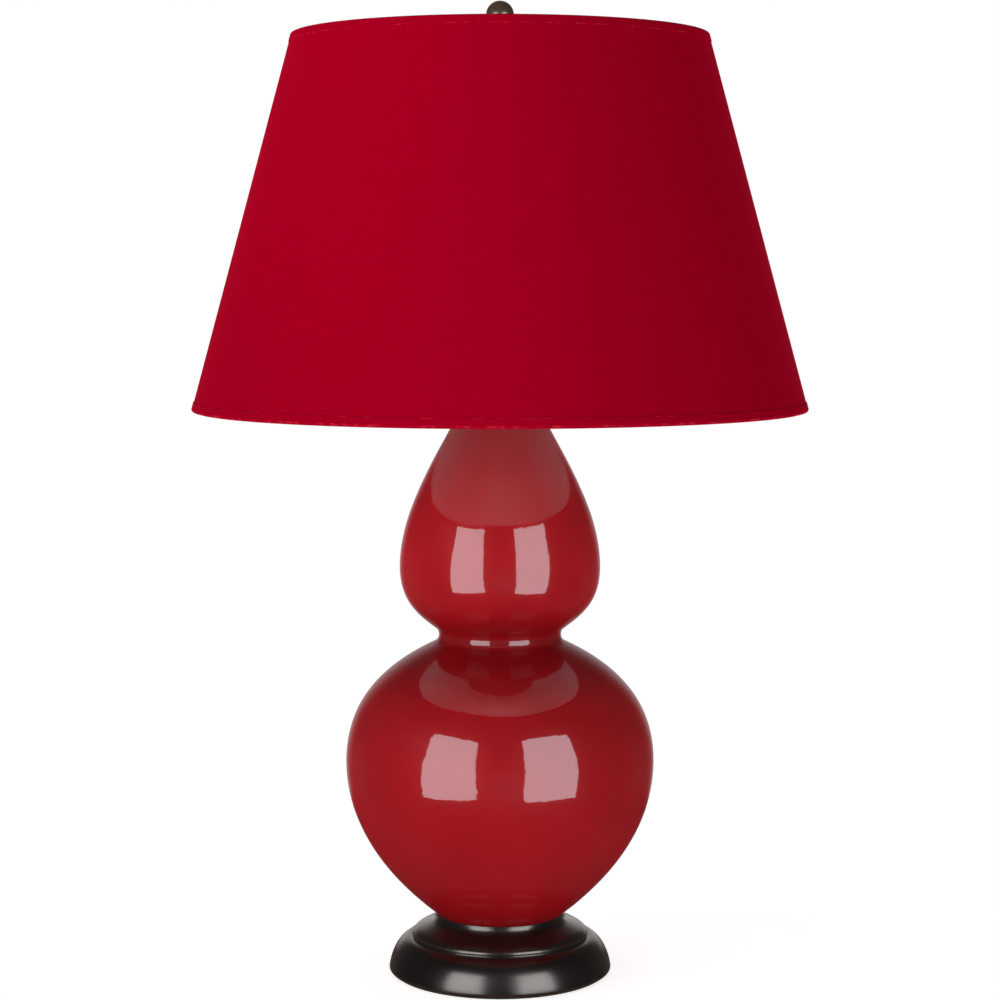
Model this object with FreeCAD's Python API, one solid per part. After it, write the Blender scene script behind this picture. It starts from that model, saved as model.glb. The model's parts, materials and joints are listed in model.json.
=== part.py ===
import FreeCAD, Part
import math
import os

# Double gourd table lamp, in millimetres. It stands on z = 0 with its axis on Z, its front
# towards -Y and its cord inlet at the back. A hollow ceramic gourd of two bulbs stands on a cast
# base. One threaded pipe runs from a nut inside the base, through the gourd, up to the socket, and
# clamps everything between. A wire harp plugs onto a saddle under the socket, where two sliding
# ferrules lock it. Its swivel stud carries the shade's spider, and the finial holds that down.

# Base
FELT_THICKNESS = 1.0
FELT_INSET = 3.2  # from the bell's widest radius
BASE_HEIGHT = 48.5  # the plane that the gourd's foot stands on
BELL_RADIUS = 91.0
BELL_HEIGHT = 29.0
BELL_ROUNDING = 18.0  # radial width of the bell's rounded shoulder
BELL_FOOT = 3.0  # height of the upright part below the rounding
BASE_EDGE_ROUND = 2.5
BASE_WALL = 5.0
LIP_RADIUS = 72.0  # the torus that overhangs the bell
LIP_HEIGHT = 2.0
COVE_FOOT_RADIUS = 56.5
COVE_FOOT_HEIGHT = 40.9
COVE_SLOPE = 0.4  # fall per radial millimetre where the cove meets the torus
COLLAR_RADIUS = 51.3
COLLAR_RIM = 1.5
SHADOW_GAP = 0.3  # between the collar's rim and the glazed foot
BASE_PLATE = 4.0  # thickness under the gourd
WEIGHT_RADIUS = 70.0
WEIGHT_THICKNESS = 10.0
WEIGHT_TOP = 24.0
WEIGHT_LEDGE = 10.0
INLET_HEIGHT = 10.0  # axis of the cord bushing
BUSHING_FLANGE_RADIUS = 6.5
BUSHING_FLANGE_THICKNESS = 1.8
BUSHING_BARREL_RADIUS = 5.0
BUSHING_BORE_RADIUS = 3.5
BUSHING_LENGTH = 10.0

# Gourd, with heights above its foot
GOURD_HEIGHT = 437.5
GOURD_WALL = 6.0
FOOT_RADIUS = 51.5
FOOT_RECESS = 1.0
FOOT_RING = 13.5
FOOT_ANGLE = 51.43  # degrees from upright
FOOT_PULL = 40.5  # pulls are the lengths of the curve's handles
BELLY_RADIUS = 125.6
BELLY_HEIGHT = 126.5
BELLY_PULL_DOWN = 59.9
BELLY_PULL_UP = 53.3
WAIST_RADIUS = 49.7
WAIST_HEIGHT = 230.1
WAIST_ROUND = 7.4
WAIST_ANGLE_DOWN = 64.5
WAIST_ANGLE_UP = 52.9
WAIST_PULL_DOWN = 39.0
WAIST_PULL_UP = 19.5
HEAD_RADIUS = 81.5
HEAD_HEIGHT = 286.5
HEAD_PULL_DOWN = 28.6
HEAD_PULL_UP = 41.0
SHOULDER_RADIUS = 43.4
SHOULDER_HEIGHT = 391.9
SHOULDER_ANGLE = 27.9
SHOULDER_PULL_DOWN = 21.8
SHOULDER_PULL_UP = 10.0
NECK_RADIUS = 25.0
NECK_PULL = 12.0
GOURD_HOLE_RADIUS = 8.0
GASKET_THICKNESS = 1.0
GASKET_WIDTH = 18.0

# Pipe and its fastenings
PIPE_RADIUS = 4.75
PIPE_BORE_RADIUS = 3.2
PIPE_TAIL = 3.0  # shown below the bottom nut
SLIP_FIT = 0.15
THREAD_FIT = 0.05
WASHER_RADIUS = 12.5
WASHER_THICKNESS = 1.5
NUT_ACROSS_FLATS = 15.9
NUT_THICKNESS = 4.8
CAP_OVERHANG = 2.5
CAP_RISE = 7.0
CAP_SHEET = 1.2
CAP_EDGE = 1.6
CAP_LIP_DEPTH = 5.0
CAP_FLAT_RADIUS = 10.5
LOCK_WASHER_RADIUS = 8.6
LOCK_WASHER_THICKNESS = 1.0
LOCK_NUT_THICKNESS = 4.0

# Socket, with heights above the saddle
SOCKET_HUB_RADIUS = 8.0
SOCKET_HUB_HEIGHT = 8.0
SOCKET_LEDGE_HEIGHT = 16.0
SOCKET_CAP_RADIUS = 18.3
SOCKET_CAP_SKIRT = 6.0
SOCKET_RADIUS = 17.5
SOCKET_SHEET = 0.6
SOCKET_HEIGHT = 60.0
SOCKET_LIP = 1.0
SLEEVE_THICKNESS = 0.5
SOCKET_GAP = 0.2
SOCKET_LEDGE_WIDTH = 2.5
SWITCH_BLOCK_RADIUS = 15.8
SWITCH_BLOCK_HEIGHT = 15.0
TERMINAL_FLAT = 13.0
TERMINAL_RADIUS = 2.8
TERMINAL_HEAD = 2.0
TERMINAL_SHANK_RADIUS = 1.6
TERMINAL_SHANK = 5.0
SCREW_SLOT = 0.8
SCREW_SLOT_DEPTH = 0.9
TERMINAL_RECESS = 10.0  # width of the flat that each terminal screw sits on
SCREW_SHELL_RADIUS = 13.9
SCREW_SHELL_SHEET = 0.4
SCREW_SHELL_HEIGHT = 25.0
SCREW_SHELL_FLANGE = 1.4
CONTACT_RADIUS = 4.0
CONTACT_HEIGHT = 1.4
SET_SCREW_RADIUS = 1.5
SET_SCREW_LENGTH = 5.0
SHAFT_RADIUS = 2.2
SHAFT_FIT = 0.05
SHAFT_BURIED = 9.0  # length inside the switch block
SHAFT_HEIGHT = 10.5  # above the block's foot
SHAFT_HOLE_RADIUS = 4.0
KNOB_RADIUS = 4.8
KNOB_LENGTH = 13.0
KNOB_GAP = 1.0  # between the knob and the socket's shell
KNOB_FLUTES = 14
KNOB_FLUTE_DEPTH = 0.7
KNOB_SOCKET_DEPTH = 8.0

# Bulb
BULB_LENGTH = 110.0
BULB_RADIUS = 30.0
BULB_GLASS = 1.0
BULB_NECK_RADIUS = 12.0
BULB_NECK_LENGTH = 9.0
BULB_CAP_RADIUS = 13.1
BULB_CAP_SHEET = 0.5
BULB_CAP_HEIGHT = 19.0
BULB_CAP_START = 5.0
BULB_TIP_RADIUS = 4.5
BULB_TIP_HEIGHT = 1.5
BULB_INSULATOR_RADIUS = 11.0
BULB_CAP_HOLE = 7.0
BULB_FLARE_ANGLE = 12.0
BULB_FLARE_PULL = 20.0
BULB_SIDE_PULL = 24.0
BULB_NECK_SHOW = 1.0  # straight glass above the metal cap
BULB_LIFT = 0.3  # gap above the socket's contact

# Harp and saddle
HARP_HEIGHT = 241.3  # saddle to shade seat, 9.5 in
HARP_WIRE_RADIUS = 2.0
HARP_HALF_WIDTH = 57.0
HARP_LEG_OFFSET = 35.0
HARP_LEG_STRAIGHT = 38.0  # above the saddle's arm
HARP_TOP_HALF_WIDTH = 50.0
HARP_SPLAY = 34.0  # height over which the legs spread
HARP_SPLAY_BEND = 30.0
HARP_TOP_BEND = 38.0
SADDLE_THICKNESS = 2.0
SADDLE_WIDTH = 8.0
SADDLE_EYE_RADIUS = 11.0
SADDLE_BEND = 5.0
SADDLE_ARM = 18.0
LAP_LENGTH = 11.0
LAP_GAP = 0.1
LAP_ROOT = 6.0
LAP_END_GAP = 0.3
FERRULE_LENGTH = 14.0
FERRULE_WALL = 1.4
FERRULE_FIT = 0.1
FERRULE_BEAD = 0.5
FERRULE_BEAD_HEIGHT = 2.0
HARP_PLATE_RADIUS = 8.0
HARP_PLATE_THICKNESS = 3.0
HARP_PLATE_BITE = 1.2  # how far the wire runs into the eye plate
STUD_RADIUS = 3.15
STUD_FIT = 0.08
STUD_FLANGE_RADIUS = 6.0
STUD_FLANGE_THICKNESS = 2.0
STUD_REACH = 12.0  # above the spider's hub
STUD_RIVET_RADIUS = 4.6
STUD_RIVET_THICKNESS = 1.4
STUD_RIVET_GAP = 0.3

# Shade
SHADE_TOP_RADIUS = 166.5
SHADE_BOTTOM_RADIUS = 248.0
SHADE_HEIGHT = 297.0
COVER_THICKNESS = 0.7
LINER_THICKNESS = 0.5
TRIM_THICKNESS = 0.6
TRIM_WIDTH = 7.0
RING_HEIGHT = 3.5
RING_DEPTH = 3.0
RING_GAP = 0.1
SEAM_WIDTH = 12.0
SEAM_THICKNESS = 0.5
SPIDER_DROP = 14.75
SPIDER_HUB_RADIUS = 12.5
SPIDER_HUB_THICKNESS = 2.0
SPIDER_HOLE_GAP = 0.45
SPIDER_WIRE_RADIUS = 1.6
SPIDER_ARMS = 3
SPIDER_BEND_REACH = 22.0  # how far inside the ring the arms turn up
SPIDER_BEND = 25.0
NOTCH_GAP = 0.2

# Finial
FINIAL_HEIGHT = 43.7
FINIAL_BALL_RADIUS = 11.2
FINIAL_FOOT_RADIUS = 8.0
FINIAL_FOOT_HEIGHT = 2.5
FINIAL_STEM_RADIUS = 5.6
FINIAL_STEM_HEIGHT = 7.0
FINIAL_BEAD_RADIUS = 7.2
FINIAL_BEAD_HEIGHT = 4.0
FINIAL_NECK_RADIUS = 4.2
INSERT_RADIUS = 4.5
INSERT_LENGTH = 14.0

QUARTER_ROUND = 0.5523  # handle share that draws a quarter of an ellipse
OVERCUT = 1.0  # how far cutters run past what they cut
SAME_POINT = 1e-6
INNER_RUNS = 4  # straight runs for each curve of a hidden inner wall

ORIGIN = FreeCAD.Vector(0, 0, 0)
X_AXIS = FreeCAD.Vector(1, 0, 0)
Y_AXIS = FreeCAD.Vector(0, 1, 0)
Z_AXIS = FreeCAD.Vector(0, 0, 1)

# Levels that the stack of pieces sets
GOURD_TOP = BASE_HEIGHT + GOURD_HEIGHT
CAP_TOP = GOURD_TOP + CAP_RISE
LOCK_NUT_FOOT = CAP_TOP + LOCK_WASHER_THICKNESS
SADDLE_FOOT = LOCK_NUT_FOOT + LOCK_NUT_THICKNESS
SADDLE_TOP = SADDLE_FOOT + SADDLE_THICKNESS
SOCKET_LEDGE = SADDLE_TOP + SOCKET_LEDGE_HEIGHT
BLOCK_TOP = SOCKET_LEDGE + SWITCH_BLOCK_HEIGHT
SHAFT_LEVEL = SOCKET_LEDGE + SHAFT_HEIGHT
BULB_FOOT = BLOCK_TOP + CONTACT_HEIGHT + BULB_LIFT
ARM_TOP = SADDLE_FOOT + SADDLE_ARM
SHADE_SEAT = SADDLE_TOP + HARP_HEIGHT
HARP_PLATE_TOP = SHADE_SEAT - STUD_FLANGE_THICKNESS
HARP_WIRE_TOP = HARP_PLATE_TOP - HARP_PLATE_THICKNESS / 2
HUB_TOP = SHADE_SEAT + SPIDER_HUB_THICKNESS
HUB_MIDDLE = SHADE_SEAT + SPIDER_HUB_THICKNESS / 2
RING_LEVEL = HUB_MIDDLE + SPIDER_DROP
WEIGHT_FOOT = WEIGHT_TOP - WEIGHT_THICKNESS
BOTTOM_NUT_TOP = WEIGHT_FOOT - WASHER_THICKNESS
PIPE_FOOT = BOTTOM_NUT_TOP - NUT_THICKNESS - PIPE_TAIL
PIPE_HOLE = PIPE_RADIUS + SLIP_FIT


def at(radius, height):
    """A point of a half-section, which lies in the XZ plane."""
    return FreeCAD.Vector(radius, 0, height)


def heading(degrees):
    """A direction in the half-section, turned outward from straight up by this angle."""
    return at(math.sin(math.radians(degrees)), math.cos(math.radians(degrees)))


def bezier(*poles):
    curve = Part.BezierCurve()
    curve.setPoles(list(poles))
    return curve.toShape()


def rounded(start, corner, end):
    """A curve that leaves start towards corner and reaches end from corner."""
    return bezier(
        start,
        start + (corner - start) * QUARTER_ROUND,
        end + (corner - end) * QUARTER_ROUND,
        end,
    )


def chain(*items):
    """Edges through a list of points and ready-made edges, closed back to the start."""
    edges = []
    first = None
    last = None
    for item in items:
        is_point = isinstance(item, FreeCAD.Vector)
        begin = item if is_point else item.valueAt(item.FirstParameter)
        end = item if is_point else item.valueAt(item.LastParameter)
        if last is None:
            first = begin
            last = begin
        if (end - last).Length < (begin - last).Length:
            begin, end = end, begin
        if (begin - last).Length > SAME_POINT:
            edges.append(Part.makeLine(last, begin))
        if not is_point:
            edges.append(item)
        last = end
    if (first - last).Length > SAME_POINT:
        edges.append(Part.makeLine(last, first))
    return edges


def straight_runs(edges, runs):
    """The curves as short straight runs, for inner walls that nothing shows."""
    points = []
    for edge in edges:
        span = edge.LastParameter - edge.FirstParameter
        steps = range(runs + 1)
        points += [edge.valueAt(edge.FirstParameter + span * step / runs) for step in steps]
    return points


def turned(*items):
    """The solid that a closed half-section sweeps round the lamp's axis."""
    face = Part.Face(Part.Wire(chain(*items)))
    return face.revolve(ORIGIN, Z_AXIS, 360)


def ring(inner, outer, low, high):
    """A plain ring or washer round the lamp's axis."""
    return turned(at(inner, low), at(outer, low), at(outer, high), at(inner, high))


def rod(radius, start, end):
    return Part.makeCylinder(radius, (end - start).Length, start, end - start)


def hex_prism(across_flats, low, high):
    """A hexagonal prism round the lamp's axis."""
    reach = across_flats / math.sqrt(3)
    angles = [math.radians(60 * side) for side in range(7)]
    corners = [FreeCAD.Vector(reach * math.cos(a), reach * math.sin(a), low) for a in angles]
    return Part.Face(Part.makePolygon(corners)).extrude(Z_AXIS * (high - low))


def wire_path(corners, bends):
    """Straight runs through the corners, each inner corner bent to its own radius."""
    items = [corners[0]]
    for before, corner, after, bend in zip(corners, corners[1:], corners[2:], bends):
        back = (before - corner).normalize()
        ahead = (after - corner).normalize()
        half_angle = back.getAngle(ahead) / 2
        middle = (back + ahead).normalize()
        start = corner + back * (bend / math.tan(half_angle))
        end = corner + ahead * (bend / math.tan(half_angle))
        through = corner + middle * (bend / math.sin(half_angle) - bend)
        items.append((start, through, end))
    items.append(corners[-1])
    edges = []
    here = items[0]
    for start, through, end in items[1:-1]:
        edges.append(Part.makeLine(here, start))
        edges.append(Part.Arc(start, through, end).toShape())
        here = end
    edges.append(Part.makeLine(here, items[-1]))
    return edges


def bent_wire(radius, corners, bends):
    """A round wire along a bent path."""
    direction = corners[1] - corners[0]
    section = Part.Wire(Part.makeCircle(radius, corners[0], direction))
    return Part.Wire(wire_path(corners, bends)).makePipeShell([section], True, False)


def mirrored(shape):
    return shape.mirror(ORIGIN, X_AXIS)


# Base


def bell_outside(height):
    """The bell's outer radius at a height on its rounded part."""
    rise = (height - BELL_FOOT) / (BELL_HEIGHT - BELL_FOOT)
    return BELL_RADIUS - BELL_ROUNDING + BELL_ROUNDING * math.sqrt(1 - rise**2)


def felt_pad():
    return Part.makeCylinder(BELL_RADIUS - FELT_INSET, FELT_THICKNESS)


def base_shell():
    """The cast base: a bell, an overhanging torus lip and a cove up to the gourd's seat."""
    bell_top_radius = BELL_RADIUS - BELL_ROUNDING
    seat = BASE_HEIGHT - GASKET_THICKNESS
    rim_top = BASE_HEIGHT - SHADOW_GAP
    cove_corner = COVE_FOOT_HEIGHT + COVE_SLOPE * (COVE_FOOT_RADIUS - COLLAR_RADIUS)
    lip_corner = COVE_FOOT_HEIGHT - COVE_SLOPE * (LIP_RADIUS - COVE_FOOT_RADIUS)
    lip_top = BELL_HEIGHT + LIP_HEIGHT
    edge = FELT_THICKNESS + BASE_EDGE_ROUND
    inner_foot = BELL_RADIUS - BASE_WALL
    ledge_radius = WEIGHT_RADIUS - WEIGHT_LEDGE
    well_radius = COLLAR_RADIUS - BASE_WALL
    well_foot = lip_corner - BASE_WALL
    shell = turned(
        at(PIPE_HOLE, seat),
        at(COLLAR_RADIUS - COLLAR_RIM, seat),
        at(COLLAR_RADIUS - COLLAR_RIM, rim_top),
        rounded(
            at(COLLAR_RADIUS, rim_top),
            at(COLLAR_RADIUS, cove_corner),
            at(COVE_FOOT_RADIUS, COVE_FOOT_HEIGHT),
        ),
        rounded(
            at(COVE_FOOT_RADIUS, COVE_FOOT_HEIGHT),
            at(LIP_RADIUS, lip_corner),
            at(LIP_RADIUS, lip_top),
        ),
        at(LIP_RADIUS, BELL_HEIGHT),
        rounded(
            at(bell_top_radius, BELL_HEIGHT),
            at(BELL_RADIUS, BELL_HEIGHT),
            at(BELL_RADIUS, edge),
        ),
        rounded(
            at(BELL_RADIUS, edge),
            at(BELL_RADIUS, FELT_THICKNESS),
            at(BELL_RADIUS - BASE_EDGE_ROUND, FELT_THICKNESS),
        ),
        at(inner_foot, FELT_THICKNESS),
        at(inner_foot, WEIGHT_FOOT),
        at(WEIGHT_RADIUS + SLIP_FIT, WEIGHT_TOP),
        at(ledge_radius, WEIGHT_TOP),
        at(ledge_radius, well_foot),
        at(well_radius, seat - BASE_PLATE),
        at(PIPE_HOLE, seat - BASE_PLATE),
    )
    spot_face = inlet_face()
    flange_room = rod(
        BUSHING_FLANGE_RADIUS + SLIP_FIT,
        FreeCAD.Vector(0, spot_face, INLET_HEIGHT),
        FreeCAD.Vector(0, BELL_RADIUS + OVERCUT, INLET_HEIGHT),
    )
    barrel_hole = rod(
        BUSHING_BARREL_RADIUS + THREAD_FIT,
        FreeCAD.Vector(0, spot_face - BUSHING_LENGTH, INLET_HEIGHT),
        FreeCAD.Vector(0, BELL_RADIUS, INLET_HEIGHT),
    )
    return shell.cut(flange_room).cut(barrel_hole)


def inlet_face():
    """How far back the flat for the bushing's flange lies."""
    return bell_outside(INLET_HEIGHT + BUSHING_FLANGE_RADIUS) - SLIP_FIT


def cord_bushing():
    """A flanged bushing for a cord, whose bore points out of the back."""
    face = inlet_face()
    outer_end = face + BUSHING_FLANGE_THICKNESS
    inner_end = outer_end - BUSHING_LENGTH
    flange = rod(
        BUSHING_FLANGE_RADIUS,
        FreeCAD.Vector(0, face, INLET_HEIGHT),
        FreeCAD.Vector(0, outer_end, INLET_HEIGHT),
    )
    barrel = rod(
        BUSHING_BARREL_RADIUS,
        FreeCAD.Vector(0, inner_end, INLET_HEIGHT),
        FreeCAD.Vector(0, face, INLET_HEIGHT),
    )
    bore = rod(
        BUSHING_BORE_RADIUS,
        FreeCAD.Vector(0, inner_end - OVERCUT, INLET_HEIGHT),
        FreeCAD.Vector(0, outer_end + OVERCUT, INLET_HEIGHT),
    )
    return flange.fuse(barrel).removeSplitter().cut(bore)


def base_weight():
    return ring(PIPE_HOLE, WEIGHT_RADIUS, WEIGHT_FOOT, WEIGHT_TOP)


def bottom_washer():
    return ring(PIPE_HOLE, WASHER_RADIUS, BOTTOM_NUT_TOP, WEIGHT_FOOT)


def tapped_nut(low, high):
    bore = Part.makeCylinder(PIPE_RADIUS + THREAD_FIT, high - low, at(0, low))
    return hex_prism(NUT_ACROSS_FLATS, low, high).cut(bore)


def bottom_nut():
    return tapped_nut(BOTTOM_NUT_TOP - NUT_THICKNESS, BOTTOM_NUT_TOP)


def seat_gasket():
    outer = COLLAR_RADIUS - COLLAR_RIM - SLIP_FIT
    return ring(outer - GASKET_WIDTH, outer, BASE_HEIGHT - GASKET_THICKNESS, BASE_HEIGHT)


# Gourd


def bulb_curve(start, start_angle, start_pull, end, end_angle, end_pull, inset):
    """One sweep of the gourd's wall, moved in from the glazed face by an inset.

    The angles are the curve's headings at its two ends, and its handles shrink with its chord.
    """
    chord = (end - start).Length
    inner_start = start + heading(start_angle - 90) * inset
    inner_end = end + heading(end_angle - 90) * inset
    scale = (inner_end - inner_start).Length / chord
    return bezier(
        inner_start,
        inner_start + heading(start_angle) * (start_pull * scale),
        inner_end - heading(end_angle) * (end_pull * scale),
        inner_end,
    )


def gourd_wall(inset):
    """The gourd's profile from its foot to its neck, with the waist as a small fillet."""
    waist_centre = at(WAIST_RADIUS + WAIST_ROUND, BASE_HEIGHT + WAIST_HEIGHT)
    lower = waist_centre - heading(90 - WAIST_ANGLE_DOWN) * WAIST_ROUND
    upper = waist_centre - heading(90 + WAIST_ANGLE_UP) * WAIST_ROUND
    foot = at(FOOT_RADIUS, BASE_HEIGHT)
    belly = at(BELLY_RADIUS, BASE_HEIGHT + BELLY_HEIGHT)
    head = at(HEAD_RADIUS, BASE_HEIGHT + HEAD_HEIGHT)
    shoulder = at(SHOULDER_RADIUS, BASE_HEIGHT + SHOULDER_HEIGHT)
    neck = at(NECK_RADIUS, GOURD_TOP)
    fillet = WAIST_ROUND + inset
    fillet_arc = Part.Arc(
        waist_centre - heading(90 - WAIST_ANGLE_DOWN) * fillet,
        waist_centre - heading(90) * fillet,
        waist_centre - heading(90 + WAIST_ANGLE_UP) * fillet,
    ).toShape()
    return [
        bulb_curve(foot, FOOT_ANGLE, FOOT_PULL, belly, 0, BELLY_PULL_DOWN, inset),
        bulb_curve(belly, 0, BELLY_PULL_UP, lower, -WAIST_ANGLE_DOWN, WAIST_PULL_DOWN, inset),
        fillet_arc,
        bulb_curve(upper, WAIST_ANGLE_UP, WAIST_PULL_UP, head, 0, HEAD_PULL_DOWN, inset),
        bulb_curve(head, 0, HEAD_PULL_UP, shoulder, -SHOULDER_ANGLE, SHOULDER_PULL_DOWN, inset),
        bulb_curve(shoulder, -SHOULDER_ANGLE, SHOULDER_PULL_UP, neck, 0, NECK_PULL, inset),
    ]


def gourd_body():
    """The hollow ceramic: both bulbs, a flat foot ring, a pierced floor and an open neck."""
    inner = straight_runs(gourd_wall(GOURD_WALL), INNER_RUNS)
    ring_inside = FOOT_RADIUS - FOOT_RING
    return turned(
        at(GOURD_HOLE_RADIUS, BASE_HEIGHT + FOOT_RECESS),
        at(ring_inside, BASE_HEIGHT + FOOT_RECESS),
        at(ring_inside, BASE_HEIGHT),
        *gourd_wall(0),
        *reversed(inner),
        at(GOURD_HOLE_RADIUS, inner[0].z),
    )


# Pipe and what it clamps on the gourd's neck


def threaded_pipe():
    return ring(PIPE_BORE_RADIUS, PIPE_RADIUS, PIPE_FOOT, SADDLE_TOP + SOCKET_HUB_HEIGHT)


def vase_cap():
    """A spun cap with a domed top, whose lip centres it in the gourd's neck."""
    rim = NECK_RADIUS + CAP_OVERHANG
    lip = NECK_RADIUS - GOURD_WALL - SLIP_FIT
    edge = GOURD_TOP + CAP_EDGE
    inner_dome = rounded(
        at(CAP_FLAT_RADIUS, CAP_TOP - CAP_SHEET),
        at(rim - CAP_SHEET, CAP_TOP - CAP_SHEET),
        at(rim - CAP_SHEET, edge),
    )
    return turned(
        at(PIPE_HOLE, CAP_TOP),
        rounded(at(CAP_FLAT_RADIUS, CAP_TOP), at(rim, CAP_TOP), at(rim, edge)),
        at(rim, GOURD_TOP),
        at(lip, GOURD_TOP),
        at(lip, GOURD_TOP - CAP_LIP_DEPTH),
        at(lip - CAP_SHEET, GOURD_TOP - CAP_LIP_DEPTH),
        at(lip - CAP_SHEET, GOURD_TOP + CAP_SHEET),
        at(rim - CAP_SHEET, GOURD_TOP + CAP_SHEET),
        *reversed(straight_runs([inner_dome], INNER_RUNS)),
        at(PIPE_HOLE, CAP_TOP - CAP_SHEET),
    )


def lock_washer():
    return ring(PIPE_HOLE, LOCK_WASHER_RADIUS, CAP_TOP, LOCK_NUT_FOOT)


def lock_nut():
    return tapped_nut(LOCK_NUT_FOOT, SADDLE_FOOT)


# Harp, and the saddle that it plugs onto


def lap_block(low, high, overlap):
    """The space on the socket's side of a harp leg's lap joint, past its middle by an overlap."""
    reach = HARP_WIRE_RADIUS + OVERCUT
    corner = FreeCAD.Vector(HARP_LEG_OFFSET - reach, -reach, low)
    return Part.makeBox(reach + overlap, 2 * reach, high - low, corner)


def harp_saddle():
    """A strap with an eye for the pipe, bent up into two arms that end in half-round tongues."""
    inner = HARP_LEG_OFFSET - SADDLE_THICKNESS / 2
    outer = HARP_LEG_OFFSET + SADDLE_THICKNESS / 2
    outside = wire_path(
        [at(-outer, ARM_TOP), at(-outer, SADDLE_FOOT), at(outer, SADDLE_FOOT), at(outer, ARM_TOP)],
        [SADDLE_BEND + SADDLE_THICKNESS] * 2,
    )
    inside = wire_path(
        [at(inner, ARM_TOP), at(inner, SADDLE_TOP), at(-inner, SADDLE_TOP), at(-inner, ARM_TOP)],
        [SADDLE_BEND] * 2,
    )
    strap = Part.Face(Part.Wire(chain(*outside, *inside))).extrude(Y_AXIS * 2 * SADDLE_EYE_RADIUS)
    strap.translate(Y_AXIS * -SADDLE_EYE_RADIUS)
    eye = Part.makeCylinder(SADDLE_EYE_RADIUS, SADDLE_ARM, at(0, SADDLE_FOOT))
    corner = FreeCAD.Vector(-outer, -SADDLE_WIDTH / 2, SADDLE_FOOT)
    strap = strap.common(eye.fuse(Part.makeBox(2 * outer, SADDLE_WIDTH, SADDLE_ARM, corner)))
    root = ARM_TOP - LAP_ROOT
    tip = ARM_TOP + LAP_LENGTH
    peg = rod(HARP_WIRE_RADIUS, at(HARP_LEG_OFFSET, root), at(HARP_LEG_OFFSET, tip))
    tongue = peg.common(lap_block(root, tip, -LAP_GAP / 2))
    hole = Part.makeCylinder(PIPE_HOLE, SADDLE_THICKNESS, at(0, SADDLE_FOOT))
    return strap.fuse([tongue, mirrored(tongue)]).removeSplitter().cut(hole)


def harp_wire():
    """The sprung wire bow: lapped ends, splayed legs, rounded shoulders and an eye at the top."""
    leg_end = ARM_TOP + LAP_END_GAP
    leg_top = ARM_TOP + HARP_LEG_STRAIGHT
    corners = [
        at(HARP_LEG_OFFSET, leg_end),
        at(HARP_LEG_OFFSET, leg_top),
        at(HARP_HALF_WIDTH, leg_top + HARP_SPLAY),
        at(HARP_TOP_HALF_WIDTH, HARP_WIRE_TOP),
        at(HARP_PLATE_RADIUS - HARP_PLATE_BITE, HARP_WIRE_TOP),
    ]
    half = bent_wire(HARP_WIRE_RADIUS, corners, [HARP_SPLAY_BEND, HARP_SPLAY_BEND, HARP_TOP_BEND])
    half = half.cut(lap_block(ARM_TOP, ARM_TOP + LAP_LENGTH + LAP_END_GAP, LAP_GAP / 2))
    plate_foot = at(0, HARP_PLATE_TOP - HARP_PLATE_THICKNESS)
    plate = Part.makeCylinder(HARP_PLATE_RADIUS, HARP_PLATE_THICKNESS, plate_foot)
    eye = rod(
        STUD_RADIUS + STUD_FIT,
        at(0, HARP_WIRE_TOP - HARP_PLATE_THICKNESS),
        at(0, HARP_WIRE_TOP + HARP_PLATE_THICKNESS),
    )
    return plate.fuse([half, mirrored(half)]).removeSplitter().cut(eye)


def ferrule(side):
    """The sleeve that drops over one lap joint, with a bead at its foot to lift it by."""
    bore = HARP_WIRE_RADIUS + FERRULE_FIT
    outer = bore + FERRULE_WALL
    bead_top = ARM_TOP + FERRULE_BEAD_HEIGHT
    top = ARM_TOP + FERRULE_LENGTH
    sleeve = turned(
        at(bore, ARM_TOP),
        at(outer + FERRULE_BEAD, ARM_TOP),
        at(outer + FERRULE_BEAD, bead_top),
        at(outer, bead_top + FERRULE_BEAD),
        at(outer, top),
        at(bore, top),
    )
    sleeve.translate(at(side * HARP_LEG_OFFSET, 0))
    return sleeve


def harp_stud():
    """The threaded stud, free to turn in the harp's eye between its rivet head and its flange."""
    rivet_top = HARP_PLATE_TOP - HARP_PLATE_THICKNESS - STUD_RIVET_GAP
    rivet_foot = rivet_top - STUD_RIVET_THICKNESS
    tip = HUB_TOP + STUD_REACH
    return turned(
        at(0, rivet_foot),
        at(STUD_RIVET_RADIUS, rivet_foot),
        at(STUD_RIVET_RADIUS, rivet_top),
        at(STUD_RADIUS, rivet_top),
        at(STUD_RADIUS, HARP_PLATE_TOP),
        at(STUD_FLANGE_RADIUS, HARP_PLATE_TOP),
        at(STUD_FLANGE_RADIUS, SHADE_SEAT),
        at(STUD_RADIUS, SHADE_SEAT),
        at(STUD_RADIUS, tip),
        at(0, tip),
    )


# Socket


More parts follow.
